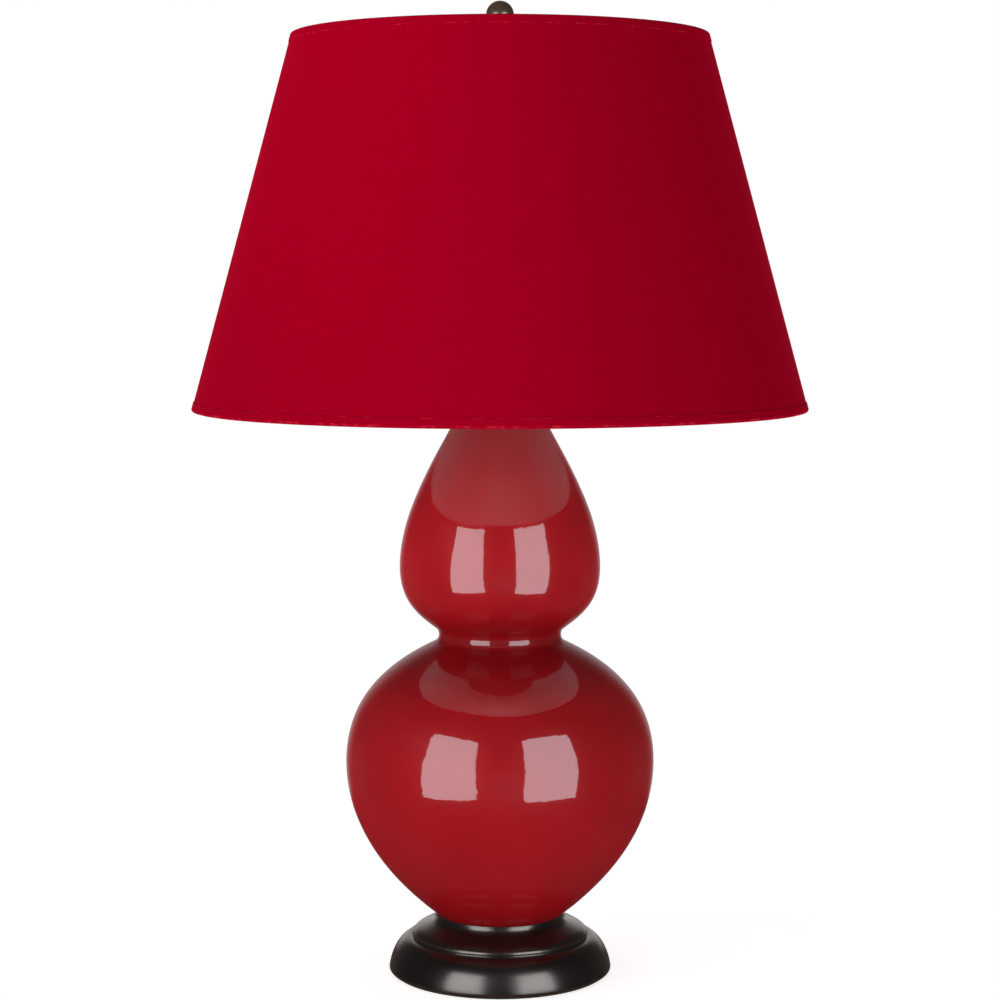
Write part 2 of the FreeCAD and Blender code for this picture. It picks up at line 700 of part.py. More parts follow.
def socket_cap():
    """The cup that screws onto the pipe and holds the socket's shell in its skirt."""
    thread = PIPE_RADIUS + THREAD_FIT
    hub_top = SADDLE_TOP + SOCKET_HUB_HEIGHT
    floor = hub_top + SOCKET_LIP
    skirt_inside = SOCKET_RADIUS + SOCKET_GAP
    ledge_inside = skirt_inside - SOCKET_LEDGE_WIDTH
    skirt_top = SOCKET_LEDGE + SOCKET_CAP_SKIRT
    cap = turned(
        at(thread, SADDLE_TOP),
        at(SOCKET_HUB_RADIUS, SADDLE_TOP),
        at(SOCKET_HUB_RADIUS, hub_top),
        rounded(
            at(SOCKET_HUB_RADIUS, hub_top),
            at(SOCKET_CAP_RADIUS, hub_top),
            at(SOCKET_CAP_RADIUS, SOCKET_LEDGE),
        ),
        at(SOCKET_CAP_RADIUS, skirt_top),
        at(skirt_inside, skirt_top),
        at(skirt_inside, SOCKET_LEDGE),
        at(ledge_inside, SOCKET_LEDGE),
        at(SOCKET_HUB_RADIUS, floor),
        at(thread, floor),
    )
    level = SADDLE_TOP + SOCKET_HUB_HEIGHT / 2
    screw_hole = rod(
        SET_SCREW_RADIUS + THREAD_FIT,
        FreeCAD.Vector(0, 0, level),
        FreeCAD.Vector(0, SOCKET_HUB_RADIUS + OVERCUT, level),
    )
    return cap.cut(screw_hole)


def socket_set_screw():
    """A slotted grub screw in the cap's hub, whose tip bears on the pipe."""
    level = SADDLE_TOP + SOCKET_HUB_HEIGHT / 2
    tip = PIPE_RADIUS + THREAD_FIT
    head = tip + SET_SCREW_LENGTH
    screw = rod(
        SET_SCREW_RADIUS,
        FreeCAD.Vector(0, tip, level),
        FreeCAD.Vector(0, head, level),
    )
    corner = FreeCAD.Vector(-SET_SCREW_RADIUS, head - SCREW_SLOT_DEPTH, level - SCREW_SLOT / 2)
    return screw.cut(Part.makeBox(2 * SET_SCREW_RADIUS, OVERCUT, SCREW_SLOT, corner))


def shaft_hole(radius, inner, outer):
    """A cutter along the switch shaft, between two distances from the socket's axis."""
    return rod(
        radius,
        FreeCAD.Vector(0, -inner, SHAFT_LEVEL),
        FreeCAD.Vector(0, -outer, SHAFT_LEVEL),
    )


def socket_shell():
    """The socket's drawn shell, with a lip at its mouth and a hole for the switch shaft."""
    inside = SOCKET_RADIUS - SOCKET_SHEET
    top = SADDLE_TOP + SOCKET_HEIGHT
    shell = turned(
        at(inside, SOCKET_LEDGE),
        at(SOCKET_RADIUS, SOCKET_LEDGE),
        at(SOCKET_RADIUS, top),
        at(SOCKET_RADIUS - SOCKET_LIP, top),
        at(SOCKET_RADIUS - SOCKET_LIP, top - SOCKET_SHEET),
        at(inside, top - SOCKET_SHEET),
    )
    return shell.cut(shaft_hole(SHAFT_HOLE_RADIUS, SWITCH_BLOCK_RADIUS, SOCKET_RADIUS + OVERCUT))


def socket_sleeve():
    """The insulating tube between the shell and the live parts."""
    outer = SOCKET_RADIUS - SOCKET_SHEET - SOCKET_GAP
    top = SADDLE_TOP + SOCKET_HEIGHT - SOCKET_SHEET - SOCKET_GAP
    sleeve = ring(outer - SLEEVE_THICKNESS, outer, SOCKET_LEDGE, top)
    return sleeve.cut(shaft_hole(SHAFT_HOLE_RADIUS, SWITCH_BLOCK_RADIUS, SOCKET_RADIUS))


def terminal_pair(radius, inner, outer):
    """Two rods on the X axis, one each side of the switch block."""
    level = SOCKET_LEDGE + SWITCH_BLOCK_HEIGHT / 2
    peg = rod(radius, at(inner, level), at(outer, level))
    return peg, mirrored(peg)


def switch_block():
    """The moulded block that holds the switch, the contacts and the terminals."""
    block = Part.makeCylinder(SWITCH_BLOCK_RADIUS, SWITCH_BLOCK_HEIGHT, at(0, SOCKET_LEDGE))
    corner = FreeCAD.Vector(TERMINAL_FLAT, -TERMINAL_RECESS / 2, SOCKET_LEDGE)
    flat = Part.makeBox(SWITCH_BLOCK_RADIUS, TERMINAL_RECESS, SWITCH_BLOCK_HEIGHT, corner)
    shaft_start = SWITCH_BLOCK_RADIUS - SHAFT_BURIED
    bore = shaft_hole(SHAFT_RADIUS + SHAFT_FIT, shaft_start, SWITCH_BLOCK_RADIUS + OVERCUT)
    holes = terminal_pair(
        TERMINAL_SHANK_RADIUS + THREAD_FIT, TERMINAL_FLAT - TERMINAL_SHANK, SWITCH_BLOCK_RADIUS
    )
    return block.cut([flat, mirrored(flat), bore, *holes])


def terminal_screws():
    """Two slotted screws, one on each side of the block."""
    shanks = terminal_pair(
        TERMINAL_SHANK_RADIUS, TERMINAL_FLAT - TERMINAL_SHANK, TERMINAL_FLAT
    )
    heads = terminal_pair(TERMINAL_RADIUS, TERMINAL_FLAT, TERMINAL_FLAT + TERMINAL_HEAD)
    level = SOCKET_LEDGE + SWITCH_BLOCK_HEIGHT / 2
    slot_floor = TERMINAL_FLAT + TERMINAL_HEAD - SCREW_SLOT_DEPTH
    corner = FreeCAD.Vector(slot_floor, -TERMINAL_RADIUS, level - SCREW_SLOT / 2)
    slot = Part.makeBox(OVERCUT, 2 * TERMINAL_RADIUS, SCREW_SLOT, corner)
    right = heads[0].fuse(shanks[0]).removeSplitter().cut(slot)
    return Part.makeCompound([right, mirrored(right)])


def screw_shell():
    """The thin shell that takes the bulb's cap, flanged where it rests on the block."""
    inside = SCREW_SHELL_RADIUS - SCREW_SHELL_SHEET
    flange = SCREW_SHELL_RADIUS + SCREW_SHELL_FLANGE
    return turned(
        at(inside, BLOCK_TOP),
        at(flange, BLOCK_TOP),
        at(flange, BLOCK_TOP + SCREW_SHELL_SHEET),
        at(SCREW_SHELL_RADIUS, BLOCK_TOP + SCREW_SHELL_SHEET),
        at(SCREW_SHELL_RADIUS, BLOCK_TOP + SCREW_SHELL_HEIGHT),
        at(inside, BLOCK_TOP + SCREW_SHELL_HEIGHT),
    )


def centre_contact():
    return Part.makeCylinder(CONTACT_RADIUS, CONTACT_HEIGHT, at(0, BLOCK_TOP))


def switch_shaft():
    inner = SWITCH_BLOCK_RADIUS - SHAFT_BURIED
    return shaft_hole(SHAFT_RADIUS, inner, SOCKET_RADIUS + KNOB_GAP + KNOB_SOCKET_DEPTH)


def switch_knob():
    """A fluted turn knob pushed onto the shaft."""
    near = SOCKET_RADIUS + KNOB_GAP
    corners = []
    for step in range(2 * KNOB_FLUTES + 1):
        angle = math.pi * step / KNOB_FLUTES
        radius = KNOB_RADIUS - KNOB_FLUTE_DEPTH * (step % 2)
        across = radius * math.cos(angle)
        corners.append(FreeCAD.Vector(across, -near, SHAFT_LEVEL + radius * math.sin(angle)))
    knob = Part.Face(Part.makePolygon(corners)).extrude(Y_AXIS * -KNOB_LENGTH)
    return knob.cut(shaft_hole(SHAFT_RADIUS + SHAFT_FIT, near - OVERCUT, near + KNOB_SOCKET_DEPTH))


# Bulb


def bulb_cap_levels():
    low = BULB_FOOT + BULB_CAP_START
    return low, low + BULB_CAP_HEIGHT


def bulb_globe():
    """The glass envelope: a neck in the metal cap, a flare and a round crown, hollow inside."""
    cap_top = bulb_cap_levels()[1]
    neck_foot = cap_top - BULB_NECK_LENGTH
    neck = at(BULB_NECK_RADIUS, cap_top + BULB_NECK_SHOW)
    crown = BULB_FOOT + BULB_LENGTH
    centre = at(0, crown - BULB_RADIUS)
    profiles = []
    for inset in (0, BULB_GLASS):
        radius = BULB_RADIUS - inset
        side = at(BULB_RADIUS, centre.z)
        flare = bulb_curve(neck, BULB_FLARE_ANGLE, BULB_FLARE_PULL, side, 0, BULB_SIDE_PULL, inset)
        dome = Part.Arc(
            centre + heading(90) * radius,
            centre + heading(45) * radius,
            centre + heading(0) * radius,
        ).toShape()
        profiles.append([flare, dome])
    outside, inside = profiles
    return turned(
        at(BULB_NECK_RADIUS, neck_foot),
        *outside,
        *reversed(straight_runs(inside, INNER_RUNS)),
        at(BULB_NECK_RADIUS - BULB_GLASS, neck_foot),
    )


def bulb_cap():
    """The bulb's drawn metal cap, open over the glass and pierced for the insulator."""
    low, high = bulb_cap_levels()
    inside = BULB_CAP_RADIUS - BULB_CAP_SHEET
    return turned(
        at(BULB_CAP_HOLE, low),
        at(BULB_CAP_RADIUS, low),
        at(BULB_CAP_RADIUS, high),
        at(inside, high),
        at(inside, low + BULB_CAP_SHEET),
        at(BULB_CAP_HOLE, low + BULB_CAP_SHEET),
    )


def bulb_insulator():
    low = BULB_FOOT + BULB_TIP_HEIGHT
    high = bulb_cap_levels()[0]
    return Part.makeCone(BULB_TIP_RADIUS, BULB_INSULATOR_RADIUS, high - low, at(0, low))


def bulb_tip():
    return Part.makeCylinder(BULB_TIP_RADIUS, BULB_TIP_HEIGHT, at(0, BULB_FOOT))


# Shade

SHADE_SLANT = math.hypot(SHADE_BOTTOM_RADIUS - SHADE_TOP_RADIUS, SHADE_HEIGHT)
DOWN_SLANT = at(SHADE_BOTTOM_RADIUS - SHADE_TOP_RADIUS, -SHADE_HEIGHT) / SHADE_SLANT
OUTWARD = at(SHADE_HEIGHT, SHADE_BOTTOM_RADIUS - SHADE_TOP_RADIUS) / SHADE_SLANT
COVER_DEPTH = TRIM_THICKNESS + COVER_THICKNESS
RING_FACE = COVER_DEPTH + LINER_THICKNESS
RING_CENTRE_DEPTH = RING_FACE + RING_DEPTH / 2
RING_START = TRIM_THICKNESS + RING_GAP
RING_CENTRE_RUN = RING_START + RING_HEIGHT / 2
RING_OFFSET = DOWN_SLANT * RING_CENTRE_RUN - OUTWARD * RING_CENTRE_DEPTH
SHADE_TOP = RING_LEVEL - RING_OFFSET.z
RING_RADIUS = SHADE_TOP_RADIUS + RING_OFFSET.x


def on_shade(run, depth):
    """A point this far down the slant from the top edge and this deep under the hem's face."""
    return at(SHADE_TOP_RADIUS, SHADE_TOP) + DOWN_SLANT * run - OUTWARD * depth


def shade_layer(outer_depth, inner_depth, margin):
    """A conical sheet that stops short of both edges by a margin."""
    return turned(
        on_shade(margin, outer_depth),
        on_shade(SHADE_SLANT - margin, outer_depth),
        on_shade(SHADE_SLANT - margin, inner_depth),
        on_shade(margin, inner_depth),
    )


def shade_cover():
    """The fabric cone, lapped over itself in a seam down the back."""
    cone = shade_layer(TRIM_THICKNESS, COVER_DEPTH, TRIM_THICKNESS)
    lap = shade_layer(TRIM_THICKNESS - SEAM_THICKNESS, COVER_DEPTH, TRIM_WIDTH + RING_GAP)
    corner = FreeCAD.Vector(-SEAM_WIDTH / 2, 0, SHADE_TOP - SHADE_HEIGHT)
    strip = Part.makeBox(SEAM_WIDTH, SHADE_BOTTOM_RADIUS, SHADE_HEIGHT, corner)
    return cone.fuse(lap.common(strip))


def shade_liner():
    return shade_layer(COVER_DEPTH, RING_FACE, TRIM_THICKNESS)


def edge_ring(end_run, inward):
    """A flat-sided stiffening ring that starts at a distance down the slant."""
    return turned(
        on_shade(end_run, RING_FACE),
        on_shade(end_run + inward * RING_HEIGHT, RING_FACE),
        on_shade(end_run + inward * RING_HEIGHT, RING_FACE + RING_DEPTH),
        on_shade(end_run, RING_FACE + RING_DEPTH),
    )


def bottom_ring():
    return edge_ring(SHADE_SLANT - RING_START, -1)


def edge_trim(edge_run, inward):
    """The rolled hem: a channel of fabric that wraps the cover, the liner and the ring."""
    inner_face = RING_FACE + RING_DEPTH + RING_GAP
    web = edge_run + inward * TRIM_THICKNESS
    end = edge_run + inward * TRIM_WIDTH
    return turned(
        on_shade(edge_run, 0),
        on_shade(end, 0),
        on_shade(end, TRIM_THICKNESS),
        on_shade(web, TRIM_THICKNESS),
        on_shade(web, inner_face),
        on_shade(end, inner_face),
        on_shade(end, inner_face + TRIM_THICKNESS),
        on_shade(edge_run, inner_face + TRIM_THICKNESS),
    )


def spider_arms(radius):
    """The arms from the hub out to the top ring, cranked up near their ends."""
    corners = [
        at(SPIDER_HUB_RADIUS - SPIDER_WIRE_RADIUS, HUB_MIDDLE),
        at(RING_RADIUS - SPIDER_BEND_REACH, HUB_MIDDLE),
        at(RING_RADIUS, RING_LEVEL),
    ]
    arms = []
    for count in range(SPIDER_ARMS):
        arm = bent_wire(radius, corners, [SPIDER_BEND])
        arm.rotate(ORIGIN, Z_AXIS, 90 + 360 * count / SPIDER_ARMS)
        arms.append(arm)
    return arms


def shade_spider():
    """The shade's fitter: a drilled hub, three cranked arms and the top ring."""
    hub = ring(STUD_RADIUS + SPIDER_HOLE_GAP, SPIDER_HUB_RADIUS, SHADE_SEAT, HUB_TOP)
    return hub.fuse([edge_ring(RING_START, 1), *spider_arms(SPIDER_WIRE_RADIUS)])


def top_trim():
    """The top hem, notched where the spider's arms pass through it."""
    return edge_trim(0, 1).cut(spider_arms(SPIDER_WIRE_RADIUS + NOTCH_GAP))


def bottom_trim():
    return edge_trim(SHADE_SLANT, -1)


# Finial


def finial_ball():
    """A turned ball on a stem with a bead and a flared foot, drilled for its insert."""
    bore = INSERT_RADIUS + THREAD_FIT
    top = HUB_TOP + FINIAL_HEIGHT
    centre = at(0, top - FINIAL_BALL_RADIUS)
    foot_top = HUB_TOP + FINIAL_FOOT_HEIGHT
    stem_top = foot_top + FINIAL_STEM_HEIGHT
    bead_foot = at(FINIAL_STEM_RADIUS, stem_top)
    bead_middle = at(FINIAL_BEAD_RADIUS, stem_top + FINIAL_BEAD_HEIGHT / 2)
    bead_head = at(FINIAL_STEM_RADIUS, stem_top + FINIAL_BEAD_HEIGHT)
    neck_angle = 180 - math.degrees(math.asin(FINIAL_NECK_RADIUS / FINIAL_BALL_RADIUS))
    ball = Part.Arc(
        centre + heading(neck_angle) * FINIAL_BALL_RADIUS,
        centre + heading(90) * FINIAL_BALL_RADIUS,
        centre + heading(0) * FINIAL_BALL_RADIUS,
    ).toShape()
    return turned(
        at(bore, HUB_TOP),
        at(FINIAL_FOOT_RADIUS, HUB_TOP),
        at(FINIAL_FOOT_RADIUS, foot_top),
        rounded(
            at(FINIAL_FOOT_RADIUS, foot_top),
            at(FINIAL_STEM_RADIUS, foot_top),
            bead_foot,
        ),
        Part.Arc(bead_foot, bead_middle, bead_head).toShape(),
        rounded(
            bead_head,
            at(FINIAL_NECK_RADIUS, bead_head.z),
            centre + heading(neck_angle) * FINIAL_BALL_RADIUS,
        ),
        ball,
        at(0, HUB_TOP + INSERT_LENGTH),
        at(bore, HUB_TOP + INSERT_LENGTH),
    )


def finial_insert():
    return ring(STUD_RADIUS + STUD_FIT, INSERT_RADIUS, HUB_TOP, HUB_TOP + INSERT_LENGTH)


PIECES = {
    "felt_pad": felt_pad,
    "base_shell": base_shell,
    "base_weight": base_weight,
    "cord_bushing": cord_bushing,
    "bottom_nut": bottom_nut,
    "bottom_washer": bottom_washer,
    "seat_gasket": seat_gasket,
    "gourd_body": gourd_body,
    "threaded_pipe": threaded_pipe,
    "vase_cap": vase_cap,
    "lock_washer": lock_washer,
    "lock_nut": lock_nut,
    "harp_saddle": harp_saddle,
    "socket_cap": socket_cap,
    "socket_set_screw": socket_set_screw,
    "socket_shell": socket_shell,
    "socket_sleeve": socket_sleeve,
    "switch_block": switch_block,
    "terminal_screws": terminal_screws,
    "screw_shell": screw_shell,
    "centre_contact": centre_contact,
    "switch_shaft": switch_shaft,
    "switch_knob": switch_knob,
    "bulb_tip": bulb_tip,
    "bulb_insulator": bulb_insulator,
    "bulb_cap": bulb_cap,
    "bulb_globe": bulb_globe,
    "harp_wire": harp_wire,
    "left_ferrule": lambda: ferrule(-1),
    "right_ferrule": lambda: ferrule(1),
    "harp_stud": harp_stud,
    "shade_spider": shade_spider,
    "bottom_ring": bottom_ring,
    "shade_liner": shade_liner,
    "shade_cover": shade_cover,
    "top_trim": top_trim,
    "bottom_trim": bottom_trim,
    "finial_ball": finial_ball,
    "finial_insert": finial_insert,
}


def main():
    os.makedirs("parts", exist_ok=True)
    for name, build in PIECES.items():
        build().exportStep(f"parts/{name}.step")


main()
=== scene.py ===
import bpy
import bmesh
import json
import math
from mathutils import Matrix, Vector, noise

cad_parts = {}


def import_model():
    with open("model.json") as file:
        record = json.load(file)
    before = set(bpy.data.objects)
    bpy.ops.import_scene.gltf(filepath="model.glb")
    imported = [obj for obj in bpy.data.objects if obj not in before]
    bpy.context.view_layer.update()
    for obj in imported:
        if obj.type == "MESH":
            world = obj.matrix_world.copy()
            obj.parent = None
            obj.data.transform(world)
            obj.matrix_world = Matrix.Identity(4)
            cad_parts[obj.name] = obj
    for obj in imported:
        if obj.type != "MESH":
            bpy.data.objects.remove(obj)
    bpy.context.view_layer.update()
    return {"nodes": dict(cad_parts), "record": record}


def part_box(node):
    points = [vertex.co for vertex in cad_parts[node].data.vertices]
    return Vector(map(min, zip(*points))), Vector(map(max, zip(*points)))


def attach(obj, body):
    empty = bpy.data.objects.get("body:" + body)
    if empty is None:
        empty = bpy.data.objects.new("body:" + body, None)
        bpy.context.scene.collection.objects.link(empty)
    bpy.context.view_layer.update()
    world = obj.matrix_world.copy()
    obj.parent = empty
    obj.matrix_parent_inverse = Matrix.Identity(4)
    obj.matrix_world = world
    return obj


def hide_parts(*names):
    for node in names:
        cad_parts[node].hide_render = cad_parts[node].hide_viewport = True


# Double gourd table lamp, in metres: red glazed ceramic on a dark bronze base, with a tapered red
# fabric shade. Its turned parts are dense smooth lathes that stand for their plainer solids.
# It stands on z = 0, its axis is z and its front looks towards -Y.

# The photograph's view
CAMERA_PLACE = (0, -2.0, 0.572)
CAMERA_TILT = 84.74  # degrees from straight down
LENS = 89.2

# Base
FELT_TOP = 0.001
BELL_RADIUS = 0.091
BELL_TOP = 0.029
BELL_SHOULDER = 0.073
BELL_FOOT = 0.0035
BELL_FOOT_ROUND = 0.0025
BELL_LEAN = 0.0032  # how far inside its foot the bell's curve is aimed
LIP_RADIUS = 0.072
LIP_FOOT = 0.031
LIP_SLOPE = 0.4
LIP_TURN = 0.0655  # where the lip's slope starts to round over
COVE_RADIUS = 0.0565
COVE_HEIGHT = 0.0409
COLLAR_RADIUS = 0.0513
COLLAR_RIM = 0.0015
SHADOW_GAP = 0.0003
SEAT_DEPTH = 0.001
BASE_WALL = 0.005
BASE_SEGMENTS = 256
BASE_EASE = 0.0004

# Gourd, with heights above its foot and angles from upright
GOURD_WALL = 0.006
FOOT_RADIUS = 0.0515
FOOT_RING = 0.0135
FOOT_ANGLE = 51.43
FOOT_PULL = 0.0405
BELLY_RADIUS = 0.1256
BELLY_HEIGHT = 0.1265
BELLY_PULLS = (0.0599, 0.0533)  # handles below and above
WAIST_RADIUS = 0.0497
WAIST_HEIGHT = 0.2301
WAIST_ROUND = 0.0074
WAIST_ANGLES = (64.5, 52.9)
WAIST_PULLS = (0.039, 0.0195)
HEAD_RADIUS = 0.0815
HEAD_HEIGHT = 0.2865
HEAD_PULLS = (0.0286, 0.041)
SHOULDER_RADIUS = 0.0434
SHOULDER_HEIGHT = 0.3919
SHOULDER_ANGLE = 27.9
SHOULDER_PULLS = (0.0218, 0.01)
NECK_RADIUS = 0.025
NECK_PULL = 0.012
GOURD_SEGMENTS = 288
GOURD_EASE = 0.0005
GOURD_STEPS = (54, 12)  # points along each sweep of the outer face and of the inner
THROWN_DEPTH = 0.00022  # how far the thrown clay wanders from a true curve
THROWN_SIZE = 0.055
THROWN_SQUASH = 1.6  # how much closer the unevenness lies in height than round the body
THROWN_SHIFT = 0.4  # keeps most of it inside the true curve

# Shade, with depths under the hem's face and runs down the slant from the top edge
SHADE_TOP_RADIUS = 0.1665
SHADE_BOTTOM_RADIUS = 0.248
COVER_THICKNESS = 0.0007
COVER_ROWS = 40
COVER_COLUMNS = 300
LINER_THICKNESS = 0.0005
LINER_ROWS = 12
LINER_SEGMENTS = 288
LINER_EASE = 0.0001
RING_DEPTH = 0.003
RING_GAP = 0.0001
SEAM_HALF = 0.006
SEAM_THICKNESS = 0.0005
SEAM_EDGE = 0.0003  # half the width of the lap's cut edge
SEAM_FALL = 0.8  # share of the half seam over which the lap sinks back into the cloth
SEAM_FADE = 0.0008  # run over which the lap dies out at the hems
SEAM_SPOTS = (-1.1, -1.05, -1.0, -0.95, -0.9, -0.5, 0.0, 0.2, 0.6, 1.0, 1.1)  # in half seams

# Hems, rolled round the rings
HEM_THICKNESS = 0.0006
HEM_WIDTH = 0.007
HEM_ROLL = 0.0019  # radius of the roll over the ring
HEM_FOLD = 0.0006  # run over which the free edge turns in
HEM_OVERHANG = 0.0002  # how far the free edge's fold stands out past its width
HEM_FOLD_DEPTH = 0.6  # where it stands out, as a share of the thickness
HEM_BEVEL = 0.0004
HEM_STEPS = 8
HEM_COLUMNS = 480
HEM_WANDER = 0.00022  # how far the free edge drifts in long waves
HEM_RIPPLE = 0.00012  # and in short ones
HEM_PUFF = 0.00008  # how far the cloth sinks and swells between its edges
HEM_CURLS = 9  # radius of the ring on which the noise of the long waves is read
HEM_RIPPLES = 46  # and that of the short waves
HEM_PUFFS = 1.7  # how much finer the swelling is than the short waves
TOP_SEED, BOTTOM_SEED = 7.0, 31.0  # heights of those rings in the noise

# Finial
FINIAL_BALL = 0.0112
FINIAL_STEPS = (0.0025, 0.0095, 0.0135)  # tops of the foot, the stem and the bead
FINIAL_RADII = (0.008, 0.0056, 0.0072, 0.0042)  # foot, stem, bead and neck
FINIAL_SEGMENTS = 96
FINIAL_EASE = 0.0004

# Lathes
AXIS = 1e-6  # a radius that counts as the axis
QUARTER_ROUND = 0.5523  # handle share that draws a quarter of an ellipse
EDGE_REACH = 0.45  # the most that an eased corner takes of the sides beside it
EDGE_SCALE = 0.002  # a turn of one radian within this length counts as a whole edge
SHARP = math.radians(38)
BACK = math.pi / 2  # the direction of +Y

# Colours of the main materials, each from dark to light where there are two
GLAZE_COLOURS = ((0.38, 0.005, 0.0095), (0.46, 0.007, 0.0135))
GLAZE_FLECK = (0.12, 0.002, 0.003)
GLAZE_PAINTED_SHADE = (  # heights, and how light the glaze is painted there: painted shade, darkest just under the waist
    (0.05, 0.84), (0.11, 0.92), (0.19, 0.94), (0.235, 0.84), (0.262, 0.55),
    (0.285, 0.66), (0.31, 0.92), (0.345, 0.99), (0.40, 0.88), (0.46, 0.74),
)
PATINA_COLOURS = ((0.0075, 0.0052, 0.0043), (0.0135, 0.0095, 0.0078))
RUBBED_BRONZE = (0.075, 0.045, 0.03)
# the finial's lighter brown: rubbed bronze, and partly a painted warm reflection
FINIAL_BROWN_AND_REFLECTION = (0.15, 0.105, 0.07)
CLOTH_COLOURS = ((0.53, 0.0, 0.0195), (0.605, 0.0002, 0.0255))
# painted highlight: pale cloth along the hems' folds, where their edges catch light
FOLD_HIGHLIGHT = (0.75, 0.03, 0.05)
PAPER_COLOURS = ((0.84, 0.84, 0.84), (0.89, 0.89, 0.90))

# Patterns, in metres or as patches to the metre along each direction
PAINTED_SHADE_DRIFT = 0.01  # how far the bands of painted shade on the glaze wander up and down
BASE_PATTERN_RADIUS = 0.04  # where the turning marks of the base have their true length
SHADE_PATTERN_RADIUS = 0.207  # where the weave has its true width
TURNING_MARKS = (30, 4200, 4200)  # round, up and out
WEFT_PITCH = 0.00062
WARP_PITCH = 0.0005
WEFT_SHARE, WARP_SHARE = 0.6, 0.4  # how much each set of threads stands out
WEFT_SLUBS = (26, 950, 0)
WARP_SLUBS = (1100, 30, 0)
METAL_SCRATCHES = (900, 900, 5000)
FINIAL_BROWN_SHARE = 1.6  # share of the finial in lighter brown, partly rubbed bronze and partly a painted warm reflection: over 1, so hardly a spot stays dark

# Metals: clean colour, tarnished colour and roughness
METALS = {
    "brass": ((0.76, 0.55, 0.24), (0.52, 0.34, 0.13), 0.25),
    "zinc_steel": ((0.62, 0.62, 0.60), (0.42, 0.42, 0.42), 0.35),
    "aluminium": ((0.80, 0.80, 0.81), (0.62, 0.62, 0.63), 0.3),
    "solder": ((0.66, 0.66, 0.64), (0.40, 0.40, 0.40), 0.4),
}
# Plain materials: light colour, dark colour, roughness, grains to the metre and their depth
PLAINS = {
    "cast_weight": ((0.10, 0.10, 0.10), (0.05, 0.05, 0.05), 0.7, 200, 0.0004),
    "felt": ((0.035, 0.05, 0.03), (0.015, 0.022, 0.014), 1.0, 1500, 0.0006),
    "rubber": ((0.03, 0.03, 0.03), (0.015, 0.015, 0.015), 0.7, 300, 0.0001),
    "black_plastic": ((0.022, 0.021, 0.02), (0.014, 0.013, 0.013), 0.35, 300, 0.0001),
    "fibre_sleeve": ((0.30, 0.22, 0.14), (0.20, 0.14, 0.09), 0.8, 300, 0.0001),
    "white_wire": ((0.82, 0.82, 0.80), (0.74, 0.74, 0.72), 0.4, 300, 0.0001),
    "opal_glass": ((0.90, 0.90, 0.87), (0.86, 0.86, 0.83), 0.18, 60, 0.00002),
}
OPAL_COAT = 0.6

# Light
SOFTBOX_SIZE = (1.04, 1.68)
SOFTBOX_TINT = (0.84, 0.95, 1.0)
SOFTBOX_TURN = 37
SOFTBOX_DISTANCE = 1.5
SOFTBOX_HEIGHT = 0.34
SOFTBOX_POWER = 32
SOFTBOX_AGAIN = 0.25  # how strongly a softbox shows in a reflection of a reflection
FIRST_REFLECTION = 2  # the ray depth of a light that is seen in one mirror
WIDE = 180  # the spread of a light without a grid
LAMPS = (  # name, degrees from the front, distance, height, size, watts, height aimed at, spread
    ("key", -66, 2.2, 1.3, (1.4, 1.0), 1.2, 0.72, 44),
    ("fill", -30, 2.2, 0.8, (1.4, 1.0), 1.2, 0.66, 60),
    ("low", 4, 1.5, -0.15, (1.2, 0.5), 1.2, 0.16, 60),
    ("rear_left", -140, 1.6, -0.05, (1.4, 0.6), 13, 0.6, WIDE),
    ("rear_right", 140, 1.6, -0.05, (1.4, 0.6), 12, 0.6, WIDE),
)
AMBIENT = (0.52, 0.02)  # soft light from level and from straight above
DIM_STUDIO = 0.05  # what gloss shows of the room in front of the lamp and beside it
BACKDROP = 0.9
BACKDROP_EDGES = (0.84, 0.97)  # how far towards +Y the white backdrop starts, and is whole

# Floor
FLOOR_RADIUS = 0.6
FLOOR_GAP = 0.0003  # keeps the table top from showing through the felt
FLOOR_FADE = (0.26, 0.576)  # radii where it starts to turn white, and is white
FLOOR_ROWS = 8
FLOOR_SEGMENTS = 96
FLOOR_COLOUR = (0.82, 0.82, 0.82, 1)
FLOOR_LIFT = 0.8
FLOOR_BOUNCE = 0.42  # light that the wide white sweep round the lamp sends up

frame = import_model()
nodes = frame["nodes"]
BOXES = {name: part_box(name) for name in nodes}
GOURD_LOW, GOURD_HIGH = (corner.z for corner in BOXES["gourd_body"])
SHADE_LOW = BOXES["bottom_trim"][0].z
SHADE_HIGH = BOXES["top_trim"][1].z


# Outlines, as lists of points (radius, height)


def heading(degrees):
    """A direction in the half-section, turned outward from straight up."""
    return Vector((math.sin(math.radians(degrees)), math.cos(math.radians(degrees))))


def bezier(start, pull, push, end, steps):
    points = []
    for step in range(steps + 1):
        t = step / steps
        s = 1 - t
        points.append(start * s**3 + pull * 3 * s * s * t + push * 3 * s * t * t + end * t**3)
    return points


def rounded(start, corner, end, steps=14):
    """A curve that leaves start towards corner and reaches end from corner."""
    start, corner, end = Vector(start), Vector(corner), Vector(end)
    pull = start.lerp(corner, QUARTER_ROUND)
    push = end.lerp(corner, QUARTER_ROUND)
    return bezier(start, pull, push, end, steps)


def arc(centre, radius, first, last, steps):
    turns = [first + (last - first) * step / steps for step in range(steps + 1)]
    return [Vector(centre) + heading(turn) * radius for turn in turns]


def outline(*items):
    """One list of points from points and lists of points, without repeats."""
    points = []
    for item in items:
        for point in item if isinstance(item, list) else [item]:
            point = Vector(point)
            if not points or (point - points[-1]).length > AXIS:
                points.append(point)
    if (points[0] - points[-1]).length < AXIS:
        points.pop()
    return points


